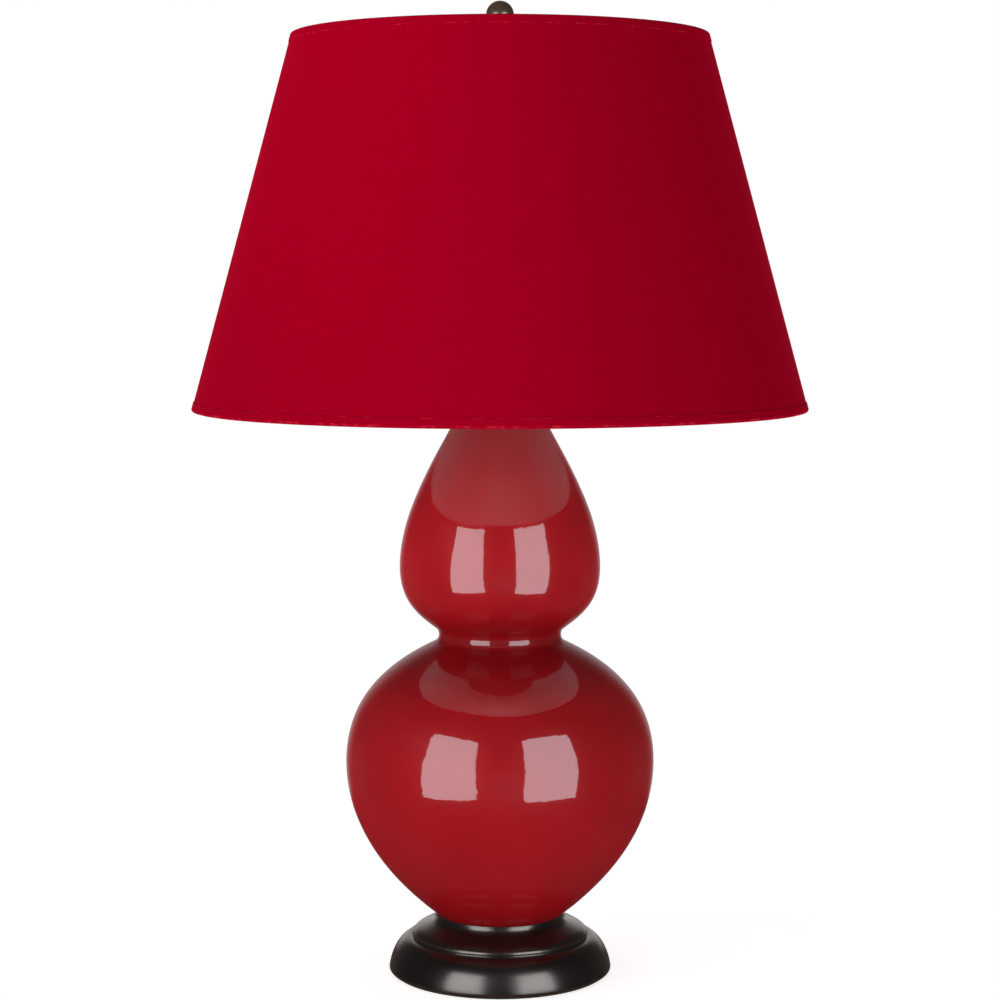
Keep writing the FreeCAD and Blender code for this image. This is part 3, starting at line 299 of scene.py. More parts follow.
def softened(points, radius, steps=3):
    """The closed outline with each sharp corner eased, so that its edges catch the light."""
    eased = []
    count = len(points)
    for index, point in enumerate(points):
        back = points[index - 1] - point
        ahead = points[(index + 1) % count] - point
        turn = math.pi - back.angle(ahead)
        if turn < SHARP or point.x < AXIS:
            eased.append(point)
            continue
        room = (EDGE_REACH * back.length, EDGE_REACH * ahead.length)
        reach = min(radius * math.tan(turn / 2), *room)
        start = point + back.normalized() * reach
        end = point + ahead.normalized() * reach
        eased += rounded(start, point, end, steps)
    return eased


# Meshes


def even(count):
    """Columns at even angles, which start at the back."""
    return lambda radius: [BACK + 2 * math.pi * step / count for step in range(count)]


def bulge(points, index):
    """How sharply the outline turns at a point: above 0 where it stands out."""
    back = points[index] - points[index - 1]
    ahead = points[(index + 1) % len(points)] - points[index]
    length = (back.length + ahead.length) / 2
    return max(-1, min(1, -back.angle_signed(ahead) / max(length, AXIS) * EDGE_SCALE))


def finish_mesh(name, mesh, material):
    """Turns a bmesh into an object with smooth faces, and hard edges where they bend sharply."""
    bmesh.ops.recalc_face_normals(mesh, faces=mesh.faces)
    for face in mesh.faces:
        face.smooth = True
    for edge in mesh.edges:
        edge.smooth = len(edge.link_faces) == 2 and edge.calc_face_angle() < SHARP
    data = bpy.data.meshes.new(name)
    mesh.to_mesh(data)
    mesh.free()
    data.materials.append(material)
    made = bpy.data.objects.new(name, data)
    bpy.context.collection.objects.link(made)
    return made


def turned_mesh(points, columns, shape=None, closed=True):
    """An outline turned round the axis. shape moves each point off the true lathe."""
    mesh = bmesh.new()
    edge = mesh.verts.layers.float.new("edge")
    signs = sum(a.x * b.y - b.x * a.y for a, b in zip(points, points[1:] + points[:1]))
    outward = 1 if signs > 0 else -1
    rings = []
    for index, (radius, height) in enumerate(points):
        ring = []
        for angle in columns(radius) if radius > AXIS else [0]:
            r, z = shape(angle, radius, height) if shape and radius > AXIS else (radius, height)
            vert = mesh.verts.new((r * math.cos(angle), r * math.sin(angle), z))
            vert[edge] = outward * bulge(points, index) if 0 < index < len(points) - 1 else 0
            ring.append(vert)
        rings.append(ring)
    pairs = list(zip(rings, rings[1:]))
    if closed and not (len(rings[0]) == 1 and len(rings[-1]) == 1):
        pairs.append((rings[-1], rings[0]))
    for low, high in pairs:
        count = max(len(low), len(high))
        for step in range(count):
            after = (step + 1) % count
            corners = [low[step % len(low)], low[after % len(low)]]
            corners += [high[after % len(high)], high[step % len(high)]]
            corners = list(dict.fromkeys(corners))
            if len(corners) > 2:
                mesh.faces.new(corners)
    return mesh


def lathe(name, points, material, segments, ease, shape=None):
    """A closed outline, with its corners eased, turned into an object."""
    mesh = turned_mesh(softened(points, ease), even(segments), shape)
    return finish_mesh(name, mesh, material)


# Shader nodes


def feed(tree, socket, value):
    """Gives a socket a value or another node's output."""
    if isinstance(value, bpy.types.NodeSocket):
        tree.links.new(value, socket)
    else:
        socket.default_value = value


def add(tree, kind, settings=None, **inputs):
    """A node with its settings and inputs."""
    made = tree.nodes.new(kind)
    for name, value in (settings or {}).items():
        setattr(made, name, value)
    for name, value in inputs.items():
        feed(tree, made.inputs[name.replace("_", " ")], value)
    return made


def reckon(tree, operation, *values):
    """A math node's output."""
    made = add(tree, "ShaderNodeMath", {"operation": operation})
    for socket, value in zip(made.inputs, values):
        feed(tree, socket, value)
    return made.outputs[0]


def ramp(tree, value, *stops):
    """A number or colour that runs between stops of (place, grey or colour)."""
    made = add(tree, "ShaderNodeValToRGB", Fac=value)
    elements = made.color_ramp.elements
    while len(elements) < len(stops):
        elements.new(0.5)
    for element, (place, shade) in zip(elements, stops):
        element.position = place
        element.color = (*shade, 1) if isinstance(shade, tuple) else (shade, shade, shade, 1)
    return made.outputs["Color"]


def eased_range(tree, value, start, end, low, high):
    """A number that runs smoothly from low to high while the value runs from start to end."""
    made = add(tree, "ShaderNodeMapRange", {"interpolation_type": "SMOOTHSTEP"}, Value=value)
    for name, limit in (("From Min", start), ("From Max", end), ("To Min", low), ("To Max", high)):
        made.inputs[name].default_value = limit
    return made.outputs["Result"]


def blended(tree, factor, first, second, mode="MIX"):
    """One colour mixed into another."""
    made = add(tree, "ShaderNodeMix", {"data_type": "RGBA", "blend_type": mode})
    for name, value in (("Factor_Float", factor), ("A_Color", first), ("B_Color", second)):
        socket = next(s for s in made.inputs if s.identifier == name)
        feed(tree, socket, (*value, 1) if isinstance(value, tuple) else value)
    return next(s for s in made.outputs if s.identifier == "Result_Color")


def speckle(tree, place, scale, detail=2.0, roughness=0.5):
    """Noise with this many patches to the metre."""
    looks = {"Scale": scale, "Detail": detail, "Roughness": roughness}
    return add(tree, "ShaderNodeTexNoise", Vector=place, **looks).outputs["Fac"]


def stretched(tree, place, factors):
    made = add(tree, "ShaderNodeVectorMath", {"operation": "MULTIPLY"})
    feed(tree, made.inputs[0], place)
    feed(tree, made.inputs[1], factors)
    return made.outputs[0]


def object_place(tree):
    return add(tree, "ShaderNodeTexCoord").outputs["Object"]


def split(tree, place):
    """A place's three numbers."""
    return add(tree, "ShaderNodeSeparateXYZ", Vector=place).outputs


def round_place(tree, radius):
    """Metres round the axis from the front, metres up and metres out, as a place for patterns."""
    x, y, z = split(tree, object_place(tree))
    turn = reckon(tree, "ARCTAN2", x, reckon(tree, "MULTIPLY", y, -1.0))
    squares = [reckon(tree, "POWER", side, 2.0) for side in (x, y)]
    out = reckon(tree, "SQRT", reckon(tree, "ADD", *squares))
    around = reckon(tree, "MULTIPLY", turn, radius)
    return add(tree, "ShaderNodeCombineXYZ", X=around, Y=z, Z=out).outputs[0]


def worn_edges(tree):
    """The meshes' own measure of where an edge stands out."""
    return add(tree, "ShaderNodeAttribute", {"attribute_name": "edge"}).outputs["Fac"]


def bump(tree, shader, height, strength, distance, below=None):
    """Relief on the shader, over the relief below it."""
    made = add(tree, "ShaderNodeBump", Height=height, Strength=strength, Distance=distance)
    if below:
        feed(tree, made.inputs["Normal"], below)
    feed(tree, shader.inputs["Normal"], made.outputs["Normal"])
    return made.outputs["Normal"]


# Materials


def new_material(name, **inputs):
    material = bpy.data.materials.new(name)
    material.use_nodes = True
    shader = material.node_tree.nodes["Principled BSDF"]
    for key, value in inputs.items():
        shader.inputs[key.replace("_", " ")].default_value = value
    return material, material.node_tree, shader


def red_glaze():
    """A deep glossy red glaze with painted shade by height, darker between the bulges, at the foot
    and the neck, and a faint orange-peel skin.
    """
    material, tree, shader = new_material(
        "red_glaze",
        Roughness=0.3,
        Specular_IOR_Level=0.05,
        Coat_Roughness=0.035,
        Coat_IOR=1.5,
    )
    place = object_place(tree)
    clouds = speckle(tree, place, scale=9.0, detail=3.0, roughness=0.6)
    dark, light = GLAZE_COLOURS
    colour = ramp(tree, clouds, (0.3, dark), (0.7, light))
    # painted shade: the glaze is darkened in bands by height, most just under the waist
    drift = reckon(tree, "MULTIPLY", reckon(tree, "SUBTRACT", clouds, 0.5), PAINTED_SHADE_DRIFT)
    level = reckon(tree, "ADD", split(tree, place)["Z"], drift)
    colour = blended(tree, 1.0, colour, ramp(tree, level, *GLAZE_PAINTED_SHADE), "MULTIPLY")
    flecks = ramp(tree, speckle(tree, place, scale=420.0), (0.66, 0.0), (0.74, 1.0))
    fleck_share = reckon(tree, "MULTIPLY", flecks, 0.25)
    feed(tree, shader.inputs["Base Color"], blended(tree, fleck_share, colour, GLAZE_FLECK))
    swell = speckle(tree, place, scale=16.0, detail=1.0)
    skin = speckle(tree, place, scale=260.0)
    waves = bump(tree, shader, swell, strength=0.35, distance=0.004)
    peel = bump(tree, shader, skin, strength=0.085, distance=0.0004, below=waves)
    feed(tree, shader.inputs["Coat Normal"], peel)
    grazing = add(tree, "ShaderNodeLayerWeight", Blend=0.5).outputs["Facing"]
    gloss = ramp(tree, grazing, (0.35, 1.0), (0.72, 0.07))
    feed(tree, shader.inputs["Coat Weight"], gloss)
    return material


def dark_bronze(name, pattern_radius, least_brown_share, brown_wear_and_reflection):
    """Near-black oil-rubbed bronze: satin, turned, and rubbed brown on its edges. On the finial it
    is lighter brown nearly all over, partly rubbed bronze and partly a painted warm reflection.

    least_brown_share is the least share of the lighter brown anywhere, and
    brown_wear_and_reflection its colour.
    """
    material, tree, shader = new_material(
        name,
        Metallic=0.2,
        Specular_IOR_Level=1.0,
        Specular_Tint=(1.0, 0.86, 0.79, 1),
        Sheen_Weight=0.12,
        Sheen_Roughness=0.35,
        Sheen_Tint=(1.0, 0.78, 0.6, 1),
    )
    place = object_place(tree)
    clouds = speckle(tree, place, scale=38.0, detail=4.0, roughness=0.6)
    dark, light = PATINA_COLOURS
    patina = ramp(tree, clouds, (0.3, dark), (0.75, light))
    ragged = speckle(tree, place, scale=160.0, detail=3.0)
    edges = ramp(tree, worn_edges(tree), (0.05, 0.0), (0.6, 1.0))
    # lighter brown on worn edges; on the finial nearly everywhere, partly a painted warm reflection
    brown_share = reckon(tree, "MULTIPLY", reckon(tree, "MAXIMUM", edges, least_brown_share), ragged)
    feed(tree, shader.inputs["Base Color"], blended(tree, brown_share, patina, brown_wear_and_reflection))
    feed(tree, shader.inputs["Roughness"], ramp(tree, clouds, (0.2, 0.19), (0.8, 0.27)))
    marks = stretched(tree, round_place(tree, pattern_radius), TURNING_MARKS)
    bump(tree, shader, speckle(tree, marks, scale=1.0), strength=0.25, distance=0.00004)
    return material


def woven(tree, place):
    """Height of a plain weave, the slubs of the threads that run round, and the upright threads."""
    around, down, _ = split(tree, place)
    weft = reckon(tree, "SINE", reckon(tree, "MULTIPLY", down, 2 * math.pi / WEFT_PITCH))
    warp = reckon(tree, "SINE", reckon(tree, "MULTIPLY", around, 2 * math.pi / WARP_PITCH))
    high_weft = reckon(tree, "MULTIPLY", weft, WEFT_SHARE)
    high_warp = reckon(tree, "MULTIPLY", warp, WARP_SHARE)
    grid = reckon(tree, "ADD", high_weft, high_warp)
    along_weft = stretched(tree, place, WEFT_SLUBS)
    along_warp = stretched(tree, place, WARP_SLUBS)
    slubs = speckle(tree, along_weft, scale=1.0, detail=3.0, roughness=0.65)
    ends = speckle(tree, along_warp, scale=1.0, detail=2.0, roughness=0.6)
    return grid, slubs, ends


def red_fabric():
    """Crimson slub cloth: matt, with a faint sheen, painted shade towards the bottom, and a painted
    highlight along its folds.
    """
    material, tree, shader = new_material(
        "red_fabric",
        Roughness=0.95,
        Specular_IOR_Level=0.0,
        Sheen_Weight=0.16,
        Sheen_Roughness=0.25,
        Sheen_Tint=(1.0, 0.08, 0.12, 1),
    )
    place = round_place(tree, SHADE_PATTERN_RADIUS)
    grid, slubs, ends = woven(tree, place)
    dark, light = CLOTH_COLOURS
    streaks = ramp(tree, slubs, (0.2, dark), (0.8, light))
    threads = ramp(tree, ends, (0.3, 0.95), (0.7, 1.0))
    colour = blended(tree, 1.0, streaks, threads, "MULTIPLY")
    knots = ramp(tree, grid, (0.0, 0.8), (0.7, 1.0))
    colour = blended(tree, 0.5, colour, knots, "MULTIPLY")
    # painted shade: the cloth is darker towards the bottom of the shade
    painted_shade_below = ramp(tree, split(tree, place)["Y"], (SHADE_LOW, 0.86), (SHADE_HIGH, 1.0))
    colour = blended(tree, 1.0, colour, painted_shade_below, "MULTIPLY")
    # painted highlight: broken pale lines along the folds, where light catches the hems' edges
    ragged = ramp(tree, speckle(tree, place, scale=180.0, detail=3.0), (0.45, 0.0), (0.6, 0.6))
    fold_highlight_mask = reckon(tree, "MULTIPLY", worn_edges(tree), ragged)
    lightened = ramp(tree, fold_highlight_mask, (0.25, 0.0), (0.6, 0.5))
    feed(tree, shader.inputs["Base Color"], blended(tree, lightened, colour, FOLD_HIGHLIGHT))
    cloth = bump(tree, shader, grid, strength=0.3, distance=0.0001)
    bump(tree, shader, slubs, strength=0.3, distance=0.00012, below=cloth)
    return material


def white_liner():
    """White laminated paper inside the shade, with a fine tooth."""
    material, tree, shader = new_material("white_liner", Roughness=0.55, Specular_IOR_Level=0.3)
    grain = speckle(tree, object_place(tree), scale=700.0, detail=3.0)
    dark, light = PAPER_COLOURS
    feed(tree, shader.inputs["Base Color"], ramp(tree, grain, (0.2, dark), (0.8, light)))
    bump(tree, shader, grain, strength=0.12, distance=0.0001)
    return material


def metal(name, clean, dull, roughness):
    """A metal with uneven tarnish and fine scratches."""
    material, tree, shader = new_material(name, Metallic=1.0)
    place = object_place(tree)
    tarnish = speckle(tree, place, scale=120.0, detail=4.0, roughness=0.6)
    feed(tree, shader.inputs["Base Color"], ramp(tree, tarnish, (0.35, clean), (0.75, dull)))
    satin = ramp(tree, tarnish, (0.2, roughness), (0.8, roughness + 0.18))
    feed(tree, shader.inputs["Roughness"], satin)
    marks = speckle(tree, stretched(tree, place, METAL_SCRATCHES), scale=1.0)
    bump(tree, shader, marks, strength=0.2, distance=0.00003)
    return material


def plain(name, light, dark, roughness, scale, depth, **inputs):
    """A material of two close colours in a fine grain."""
    material, tree, shader = new_material(name, Roughness=roughness, **inputs)
    grain = speckle(tree, object_place(tree), scale, detail=4.0, roughness=0.6)
    feed(tree, shader.inputs["Base Color"], ramp(tree, grain, (0.3, dark), (0.7, light)))
    bump(tree, shader, grain, strength=0.3, distance=depth)
    return material


materials = {
    "red_glaze": red_glaze(),
    "dark_bronze": dark_bronze("dark_bronze", BASE_PATTERN_RADIUS, 0.0, RUBBED_BRONZE),
    "red_fabric": red_fabric(),
    "white_liner": white_liner(),
}
for kind, look in METALS.items():
    materials[kind] = metal(kind, *look)
for kind, look in PLAINS.items():
    coat = {"Coat_Weight": OPAL_COAT} if kind == "opal_glass" else {}
    materials[kind] = plain(kind, *look, **coat)


def stands_for(made, slot, body, *replaced):
    """Gives a piece its body and hides the nodes that it stands for. Its slot is not used."""
    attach(made, body)
    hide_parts(*replaced)
    return made


# Base


def base_shell():
    """The bell, the torus lip that overhangs it and the cove up to the gourd's seat."""
    rim = GOURD_LOW - SHADOW_GAP
    floor = GOURD_LOW - SEAT_DEPTH
    cove = COVE_HEIGHT + LIP_SLOPE * (COVE_RADIUS - COLLAR_RADIUS)
    lip = COVE_HEIGHT - LIP_SLOPE * (LIP_RADIUS - COVE_RADIUS)
    turn = COVE_HEIGHT - LIP_SLOPE * (LIP_TURN - COVE_RADIUS)
    well = COLLAR_RADIUS - BASE_WALL
    inner_foot = BELL_RADIUS - BASE_WALL
    bell_start = (BELL_SHOULDER, BELL_TOP)
    bell_corner = (BELL_RADIUS - BELL_LEAN, BELL_TOP)
    bell_foot = (BELL_RADIUS, BELL_FOOT)
    foot_end = (BELL_RADIUS - BELL_FOOT_ROUND, FELT_TOP)
    points = outline(
        (0, floor),
        (COLLAR_RADIUS - COLLAR_RIM, floor),
        (COLLAR_RADIUS - COLLAR_RIM, rim),
        rounded((COLLAR_RADIUS, rim), (COLLAR_RADIUS, cove), (COVE_RADIUS, COVE_HEIGHT)),
        rounded((LIP_TURN, turn), (LIP_RADIUS, lip), (LIP_RADIUS, LIP_FOOT), steps=28),
        (LIP_RADIUS, BELL_TOP),
        rounded(bell_start, bell_corner, bell_foot, steps=36),
        rounded(bell_foot, (BELL_RADIUS, FELT_TOP), foot_end, steps=8),
        (inner_foot, FELT_TOP),
        (inner_foot, BELL_FOOT),
        (well, lip - BASE_WALL),
        (well, floor - BASE_WALL),
        (0, floor - BASE_WALL),
    )
    made = lathe("bronze_base", points, materials["dark_bronze"], BASE_SEGMENTS, BASE_EASE)
    return stands_for(made, "dark_bronze", "lamp_base", "base_shell")


# Gourd


def sweep(start, start_angle, start_pull, end, end_angle, end_pull, inset, steps):
    """One sweep of the wall, moved in from the glazed face by an inset."""
    chord = (end - start).length
    inner_start = start + heading(start_angle - 90) * inset
    inner_end = end + heading(end_angle - 90) * inset
    scale = (inner_end - inner_start).length / chord
    pull = inner_start + heading(start_angle) * (start_pull * scale)
    push = inner_end - heading(end_angle) * (end_pull * scale)
    return bezier(inner_start, pull, push, inner_end, steps)


def gourd_wall(inset, steps):
    """The gourd's face from its foot to its mouth, moved in by an inset."""
    waist = Vector((WAIST_RADIUS + WAIST_ROUND, GOURD_LOW + WAIST_HEIGHT))
    lower_angle, upper_angle = WAIST_ANGLES
    lower = waist - heading(90 - lower_angle) * WAIST_ROUND
    upper = waist - heading(90 + upper_angle) * WAIST_ROUND
    foot = Vector((FOOT_RADIUS, GOURD_LOW))
    belly = Vector((BELLY_RADIUS, GOURD_LOW + BELLY_HEIGHT))
    head = Vector((HEAD_RADIUS, GOURD_LOW + HEAD_HEIGHT))
    shoulder = Vector((SHOULDER_RADIUS, GOURD_LOW + SHOULDER_HEIGHT))
    neck = Vector((NECK_RADIUS, GOURD_HIGH))
    tilt = SHOULDER_ANGLE
    return outline(
        sweep(foot, FOOT_ANGLE, FOOT_PULL, belly, 0, BELLY_PULLS[0], inset, steps),
        sweep(belly, 0, BELLY_PULLS[1], lower, -lower_angle, WAIST_PULLS[0], inset, steps),
        arc(waist, WAIST_ROUND + inset, 270 - lower_angle, 270 + upper_angle, steps // 2),
        sweep(upper, upper_angle, WAIST_PULLS[1], head, 0, HEAD_PULLS[0], inset, steps),
        sweep(head, 0, HEAD_PULLS[1], shoulder, -tilt, SHOULDER_PULLS[0], inset, steps),
        sweep(shoulder, -tilt, SHOULDER_PULLS[1], neck, 0, NECK_PULL, inset, steps // 3),
    )


def thrown(angle, radius, height):
    """The slight unevenness of thrown clay, which dies out at the foot and the neck."""
    room = min(1, (height - GOURD_LOW) / THROWN_SIZE, (GOURD_HIGH - height) / THROWN_SIZE)
    spot = Vector((radius * math.cos(angle), radius * math.sin(angle), height * THROWN_SQUASH))
    wander = noise.noise(spot / THROWN_SIZE) - THROWN_SHIFT
    return radius + THROWN_DEPTH * room * wander, height


def gourd():
    outer_steps, inner_steps = GOURD_STEPS
    inner = gourd_wall(GOURD_WALL, inner_steps)
    ring_inside = FOOT_RADIUS - FOOT_RING
    points = outline(
        (0, GOURD_LOW + SEAT_DEPTH),
        (ring_inside, GOURD_LOW + SEAT_DEPTH),
        (ring_inside, GOURD_LOW),
        gourd_wall(0, outer_steps),
        inner[::-1],
        (0, inner[0].y),
    )
    glaze = materials["red_glaze"]
    made = lathe("glazed_gourd", points, glaze, GOURD_SEGMENTS, GOURD_EASE, thrown)
    return stands_for(made, "red_glaze", "lamp_base", "gourd_body")


# Shade

COVER_FACE = HEM_THICKNESS
LINER_FACE = HEM_THICKNESS + COVER_THICKNESS
INSIDE_FACE = LINER_FACE + LINER_THICKNESS
HEM_INSIDE = INSIDE_FACE + RING_DEPTH + RING_GAP
HEM_CLEAR = HEM_WIDTH + RING_GAP
SHADE_EDGE = Vector((SHADE_TOP_RADIUS, SHADE_HIGH))
SLANT = (Vector((SHADE_BOTTOM_RADIUS, SHADE_LOW)) - SHADE_EDGE).length
DOWN_SLANT = (Vector((SHADE_BOTTOM_RADIUS, SHADE_LOW)) - SHADE_EDGE).normalized()
OUTWARD = Vector((-DOWN_SLANT.y, DOWN_SLANT.x))


def on_shade(run, depth):
    """A point this far down the slant from the top edge and this deep under the hem's face."""
    return SHADE_EDGE + DOWN_SLANT * run - OUTWARD * depth


def run_and_depth(radius, height):
    """Where a point of the half-section lies on the shade."""
    offset = Vector((radius, height)) - SHADE_EDGE
    return offset.dot(DOWN_SLANT), -offset.dot(OUTWARD)


def conical_sheet(outer, inner, runs):
    """The outline of a sheet between two depths, with points at these runs on its faces."""
    down = [on_shade(run, outer) for run in runs]
    up = [on_shade(run, inner) for run in reversed(runs)]
    return outline(down, up)


def even_runs(rows):
    """Runs at even steps between the folds of the two hems."""
    span = SLANT - 2 * HEM_THICKNESS
    return [HEM_THICKNESS + span * row / rows for row in range(rows + 1)]


def seam_lift(across):
    """How far the lapped edge stands proud, by the distance across the seam."""
    rise = min(1, max(0, (across + SEAM_HALF + SEAM_EDGE) / (2 * SEAM_EDGE)))
    fall = min(1, max(0, (SEAM_HALF - across) / (SEAM_HALF * SEAM_FALL)))
    return SEAM_THICKNESS * rise * fall


def seam_columns(count):
    """Columns that follow the back seam's straight edges, and are even elsewhere."""

    def columns(radius):
        seam = [BACK - math.asin(SEAM_HALF * spot / radius) for spot in SEAM_SPOTS]
        first, last = seam[-1], seam[0]
        gap = 2 * math.pi - (last - first)
        rest = [last + gap * step / count for step in range(1, count)]
        return seam[::-1] + rest

    return columns


def lapped(angle, radius, height):
    """Lifts the cover's outer face along the back seam, clear of the hems."""
    run, depth = run_and_depth(radius, height)
    if depth > COVER_FACE + AXIS or math.sin(angle) < 0:
        return radius, height
    below_top = max(0, (run - HEM_CLEAR) / SEAM_FADE)
    above_bottom = max(0, (SLANT - HEM_CLEAR - run) / SEAM_FADE)
    fade = min(1, below_top, above_bottom)
    lifted = on_shade(run, depth - fade * seam_lift(radius * math.cos(angle)))
    return lifted.x, lifted.y


def shade_cover():
    beside_hem = [HEM_CLEAR, HEM_CLEAR + SEAM_FADE]
    runs = sorted(even_runs(COVER_ROWS) + beside_hem + [SLANT - run for run in beside_hem])
    points = conical_sheet(COVER_FACE, LINER_FACE, runs)
    mesh = turned_mesh(points, seam_columns(COVER_COLUMNS), lapped)
    made = finish_mesh("fabric_cover", mesh, materials["red_fabric"])
    return stands_for(made, "red_fabric", "shade", "shade_cover")


def shade_liner():
    points = conical_sheet(LINER_FACE, INSIDE_FACE, even_runs(LINER_ROWS))
    made = lathe("paper_liner", points, materials["white_liner"], LINER_SEGMENTS, LINER_EASE)
    return stands_for(made, "white_liner", "shade", "shade_liner")


def hem(name, node, top_edge):
    """A rolled hem: cloth wrapped round the ring, slightly uneven along its free edge."""
    edge_run = 0 if top_edge else SLANT
    inward = 1 if top_edge else -1
    seed = TOP_SEED if top_edge else BOTTOM_SEED
    inner = HEM_INSIDE + HEM_THICKNESS

    def spot(run, depth):
        return on_shade(edge_run + inward * run, depth)

    flat = [HEM_ROLL + (HEM_WIDTH - HEM_ROLL) * step / HEM_STEPS for step in range(HEM_STEPS)]
    fold_tip = spot(HEM_WIDTH + HEM_OVERHANG, HEM_THICKNESS * HEM_FOLD_DEPTH)
    points = outline(
        spot(HEM_WIDTH, HEM_THICKNESS),
        rounded(fold_tip, spot(HEM_WIDTH, 0), spot(HEM_WIDTH - HEM_FOLD, 0), steps=5),
        [spot(run, 0) for run in reversed(flat)],
        rounded(spot(HEM_ROLL, 0), spot(0, 0), spot(0, HEM_ROLL), HEM_STEPS),
        spot(0, inner - HEM_ROLL),
        rounded(spot(0, inner - HEM_ROLL), spot(0, inner), spot(HEM_ROLL, inner), HEM_STEPS),
        spot(HEM_WIDTH - HEM_BEVEL, inner),
        spot(HEM_WIDTH, inner - HEM_THICKNESS / 2),
        spot(HEM_WIDTH - HEM_BEVEL, HEM_INSIDE),
        spot(HEM_THICKNESS * 2, HEM_INSIDE),
        spot(HEM_THICKNESS, HEM_INSIDE - HEM_THICKNESS),
        spot(HEM_THICKNESS, 2 * HEM_THICKNESS),
        spot(HEM_THICKNESS * 2, HEM_THICKNESS),
    )

    def handmade(angle, radius, height):
        run, depth = run_and_depth(radius, height)
        along = inward * (run - edge_run) / HEM_WIDTH
        curl, ripple = (
            Vector((math.cos(angle) * size, math.sin(angle) * size, seed))
            for size in (HEM_CURLS, HEM_RIPPLES)
        )
        shift = HEM_WANDER * noise.noise(curl) + HEM_RIPPLE * noise.noise(ripple)
        swell = math.sin(math.pi * min(1, max(0, along)))
        puff = HEM_PUFF * (noise.noise(ripple * HEM_PUFFS) - 1) * swell
        outside = depth < HEM_ROLL
        moved = on_shade(run + inward * shift * max(0, along), depth - puff * outside)
        return moved.x, moved.y

    mesh = turned_mesh(points, even(HEM_COLUMNS), handmade)
    made = finish_mesh(name, mesh, materials["red_fabric"])
    return stands_for(made, "red_fabric", "shade", node)


# Finial


def finial():
    """A ball on a neck, above a bead, a waisted stem and a foot."""
    low, high = (corner.z for corner in BOXES["finial_ball"])
    foot, stem, bead, neck = FINIAL_RADII
    foot_top, stem_top, bead_top = (low + step for step in FINIAL_STEPS)
    centre = Vector((0, high - FINIAL_BALL))
    neck_angle = 180 - math.degrees(math.asin(neck / FINIAL_BALL))
    bead_mid = (stem_top + bead_top) / 2
    ball_foot = centre + heading(neck_angle) * FINIAL_BALL
    points = outline(
        (0, low),
        (foot, low),
        (foot, foot_top),
        rounded((foot, foot_top), (stem, foot_top), (stem, stem_top), steps=12),
        rounded((stem, stem_top), (bead, stem_top), (bead, bead_mid), steps=8),
        rounded((bead, bead_mid), (bead, bead_top), (stem, bead_top), steps=8),
        rounded((stem, bead_top), (neck, bead_top), ball_foot, steps=10),
        arc(centre, FINIAL_BALL, neck_angle, 0, steps=40),
    )
    points[-1].x = 0
    # the finial's bronze is lighter brown nearly all over, partly a painted warm reflection
    lightened = dark_bronze("brown_bronze_painted_reflection", FINIAL_BALL, FINIAL_BROWN_SHARE, FINIAL_BROWN_AND_REFLECTION)
    made = lathe("bronze_finial", points, lightened, FINIAL_SEGMENTS, FINIAL_EASE)
    return stands_for(made, "dark_bronze", "finial", "finial_ball")


def dress_nodes():
    """Every solid that stays in view gets its finish."""
    slots = {part["node"]: part["material_slot"] for part in frame["record"]["subparts"]}
    for name, node in nodes.items():
        for slot in node.material_slots:
            slot.material = materials[slots[name]]


# Camera, light and floor


def camera():
    data = bpy.data.cameras.new("camera")
    data.lens = LENS
    made = bpy.data.objects.new("camera", data)
    made.location = CAMERA_PLACE
    made.rotation_euler = (math.radians(CAMERA_TILT), 0, 0)
    bpy.context.collection.objects.link(made)
    bpy.context.scene.camera = made


def shown_once(data):
    """Dims a light in a reflection of a reflection, and in those after it."""
    data.use_nodes = True
    tree = data.node_tree
    emission = next(node for node in tree.nodes if node.type == "EMISSION")
    depth = add(tree, "ShaderNodeLightPath").outputs["Ray Depth"]
    again = reckon(tree, "GREATER_THAN", depth, FIRST_REFLECTION + 0.5)
    loss = reckon(tree, "MULTIPLY", again, 1 - SOFTBOX_AGAIN)
    feed(tree, emission.inputs["Strength"], reckon(tree, "SUBTRACT", 1.0, loss))


def panel(name, azimuth, distance, height, size, power, aim, spread):
    """A square light on a stand, with a grid that narrows its spread."""
    data = bpy.data.lights.new(name, "AREA")
    data.shape = "RECTANGLE"
    data.size, data.size_y = size
    data.energy = power
    data.spread = math.radians(spread)
    made = bpy.data.objects.new(name, data)
    turn = math.radians(azimuth)
    place = Vector((math.sin(turn) * distance, -math.cos(turn) * distance, height))
    made.location = place
    made.rotation_euler = (place - Vector((0, 0, aim))).to_track_quat("Z", "Y").to_euler()
    made.visible_camera = False
    made.visible_transmission = False
    made.visible_glossy = False
    bpy.context.collection.objects.link(made)
    return made


def softbox(side):
    """A large light in front, which shows in gloss and lights nothing else."""
    made = panel(
        f"softbox_{side}", side * SOFTBOX_TURN, SOFTBOX_DISTANCE, SOFTBOX_HEIGHT,
        SOFTBOX_SIZE, SOFTBOX_POWER, SOFTBOX_HEIGHT, WIDE,
    )
    made.data.color = SOFTBOX_TINT
    made.visible_diffuse = False
    made.visible_glossy = True
    shown_once(made.data)


def lights():
    for side in (-1, 1):
        softbox(side)
    for lamp in LAMPS:
        panel(*lamp)


def ray_kinds(tree):
    """1 for rays seen straight or through glass, and 1 for rays that come from gloss."""
    path = add(tree, "ShaderNodeLightPath").outputs
    straight = reckon(tree, "MAXIMUM", path["Is Camera Ray"], path["Is Transmission Ray"])
    return straight, path["Is Glossy Ray"]


def backdrop(tree, behind):
    """White behind the lamp and dim elsewhere, by how far behind the lamp a place lies."""
    return eased_range(tree, behind, *BACKDROP_EDGES, DIM_STUDIO, BACKDROP)


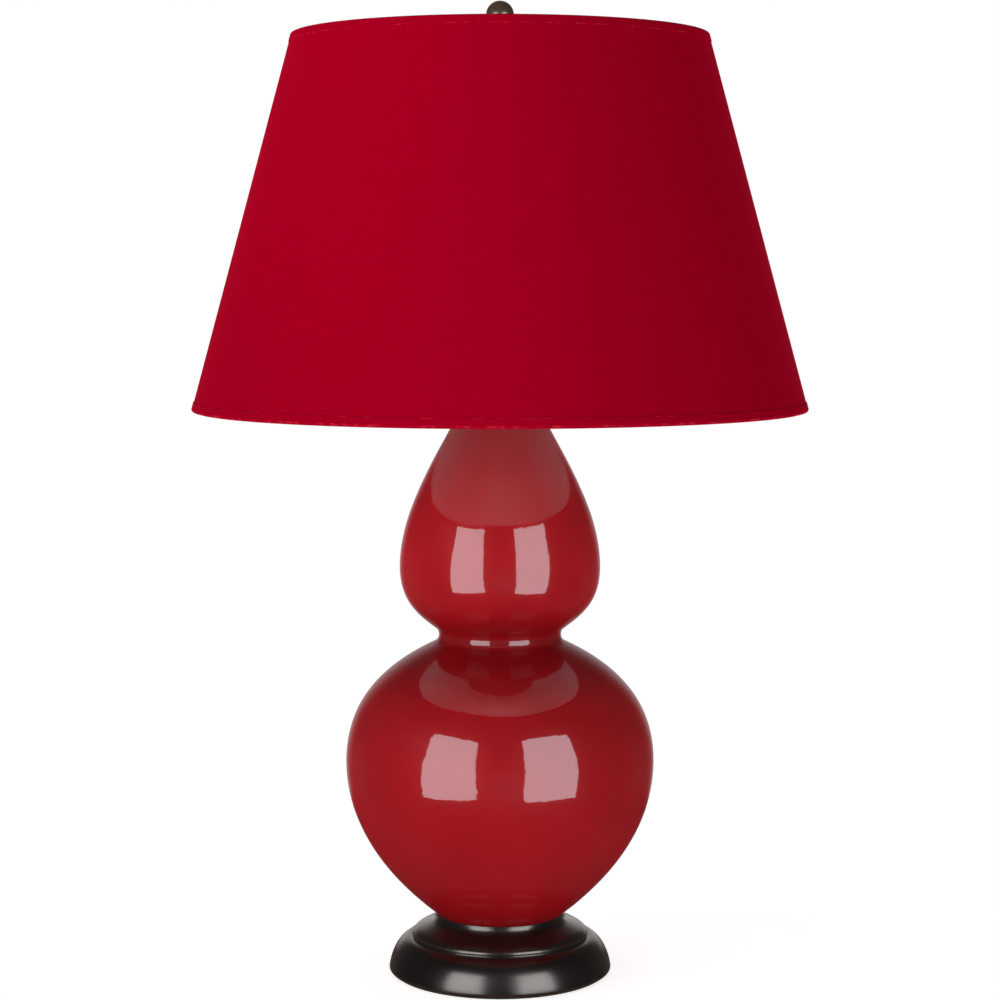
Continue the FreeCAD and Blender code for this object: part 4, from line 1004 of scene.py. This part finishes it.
def world():
    """White where the camera or glass looks, a white backdrop for gloss, and plain soft light."""
    made = bpy.data.worlds.new("studio")
    made.use_nodes = True
    tree = made.node_tree
    background = tree.nodes["Background"]
    background.inputs["Color"].default_value = (1, 1, 1, 1)
    straight, gloss = ray_kinds(tree)
    towards = split(tree, add(tree, "ShaderNodeTexCoord").outputs["Generated"])
    soft = add(tree, "ShaderNodeMapRange", Value=towards["Z"])
    soft.inputs["To Min"].default_value, soft.inputs["To Max"].default_value = AMBIENT
    mirrored = reckon(tree, "MULTIPLY", gloss, backdrop(tree, towards["Y"]))
    shown = reckon(tree, "MAXIMUM", straight, mirrored)
    unseen = reckon(tree, "SUBTRACT", 1.0, reckon(tree, "MAXIMUM", straight, gloss))
    lit = reckon(tree, "MULTIPLY", unseen, soft.outputs["Result"])
    feed(tree, background.inputs["Strength"], reckon(tree, "ADD", shown, lit))
    bpy.context.scene.world = made


def mixed(tree, share, first, second):
    made = add(tree, "ShaderNodeMixShader", Fac=share)
    feed(tree, made.inputs[1], first.outputs[0])
    feed(tree, made.inputs[2], second.outputs[0])
    return made


def pale_floor():
    """Matt and pale where it is seen, and the studio's own light and dark in gloss."""
    material = bpy.data.materials.new("pale_floor")
    material.use_nodes = True
    tree = material.node_tree
    tree.nodes.clear()
    straight, gloss = ray_kinds(tree)
    out = split(tree, round_place(tree, 1.0))["Z"]
    behind = reckon(tree, "DIVIDE", split(tree, object_place(tree))["Y"], FLOOR_RADIUS)
    fade = eased_range(tree, out, *FLOOR_FADE, 0, 1)
    matt = add(tree, "ShaderNodeBsdfDiffuse", Color=FLOOR_COLOUR)
    seen_lift = reckon(tree, "MULTIPLY", straight, FLOOR_LIFT - FLOOR_BOUNCE)
    lift = add(tree, "ShaderNodeEmission", Strength=reckon(tree, "ADD", seen_lift, FLOOR_BOUNCE))
    near = add(tree, "ShaderNodeAddShader")
    feed(tree, near.inputs[0], matt.outputs[0])
    feed(tree, near.inputs[1], lift.outputs[0])
    far = add(tree, "ShaderNodeEmission", Strength=1.0)
    seen = mixed(tree, reckon(tree, "MULTIPLY", fade, straight), near, far)
    mirror = add(tree, "ShaderNodeEmission", Strength=backdrop(tree, behind))
    end = add(tree, "ShaderNodeOutputMaterial")
    feed(tree, end.inputs["Surface"], mixed(tree, gloss, seen, mirror).outputs[0])
    return material


def floor():
    """A pale round table top. It keeps the lamp's shadow, and turns to plain white at its rim."""
    steps = range(FLOOR_ROWS + 1)
    rows = [Vector((FLOOR_RADIUS * step / FLOOR_ROWS, -FLOOR_GAP)) for step in steps]
    mesh = turned_mesh(rows, even(FLOOR_SEGMENTS), closed=False)
    made = finish_mesh("table_top", mesh, pale_floor())


camera()
dress_nodes()
base_shell()
gourd()
cover = shade_cover()
shade_liner()
hems = [hem("top_hem", "top_trim", True), hem("bottom_hem", "bottom_trim", False)]
finial()
lights()
world()
floor()

scene = bpy.context.scene
scene.view_settings.view_transform = "Standard"
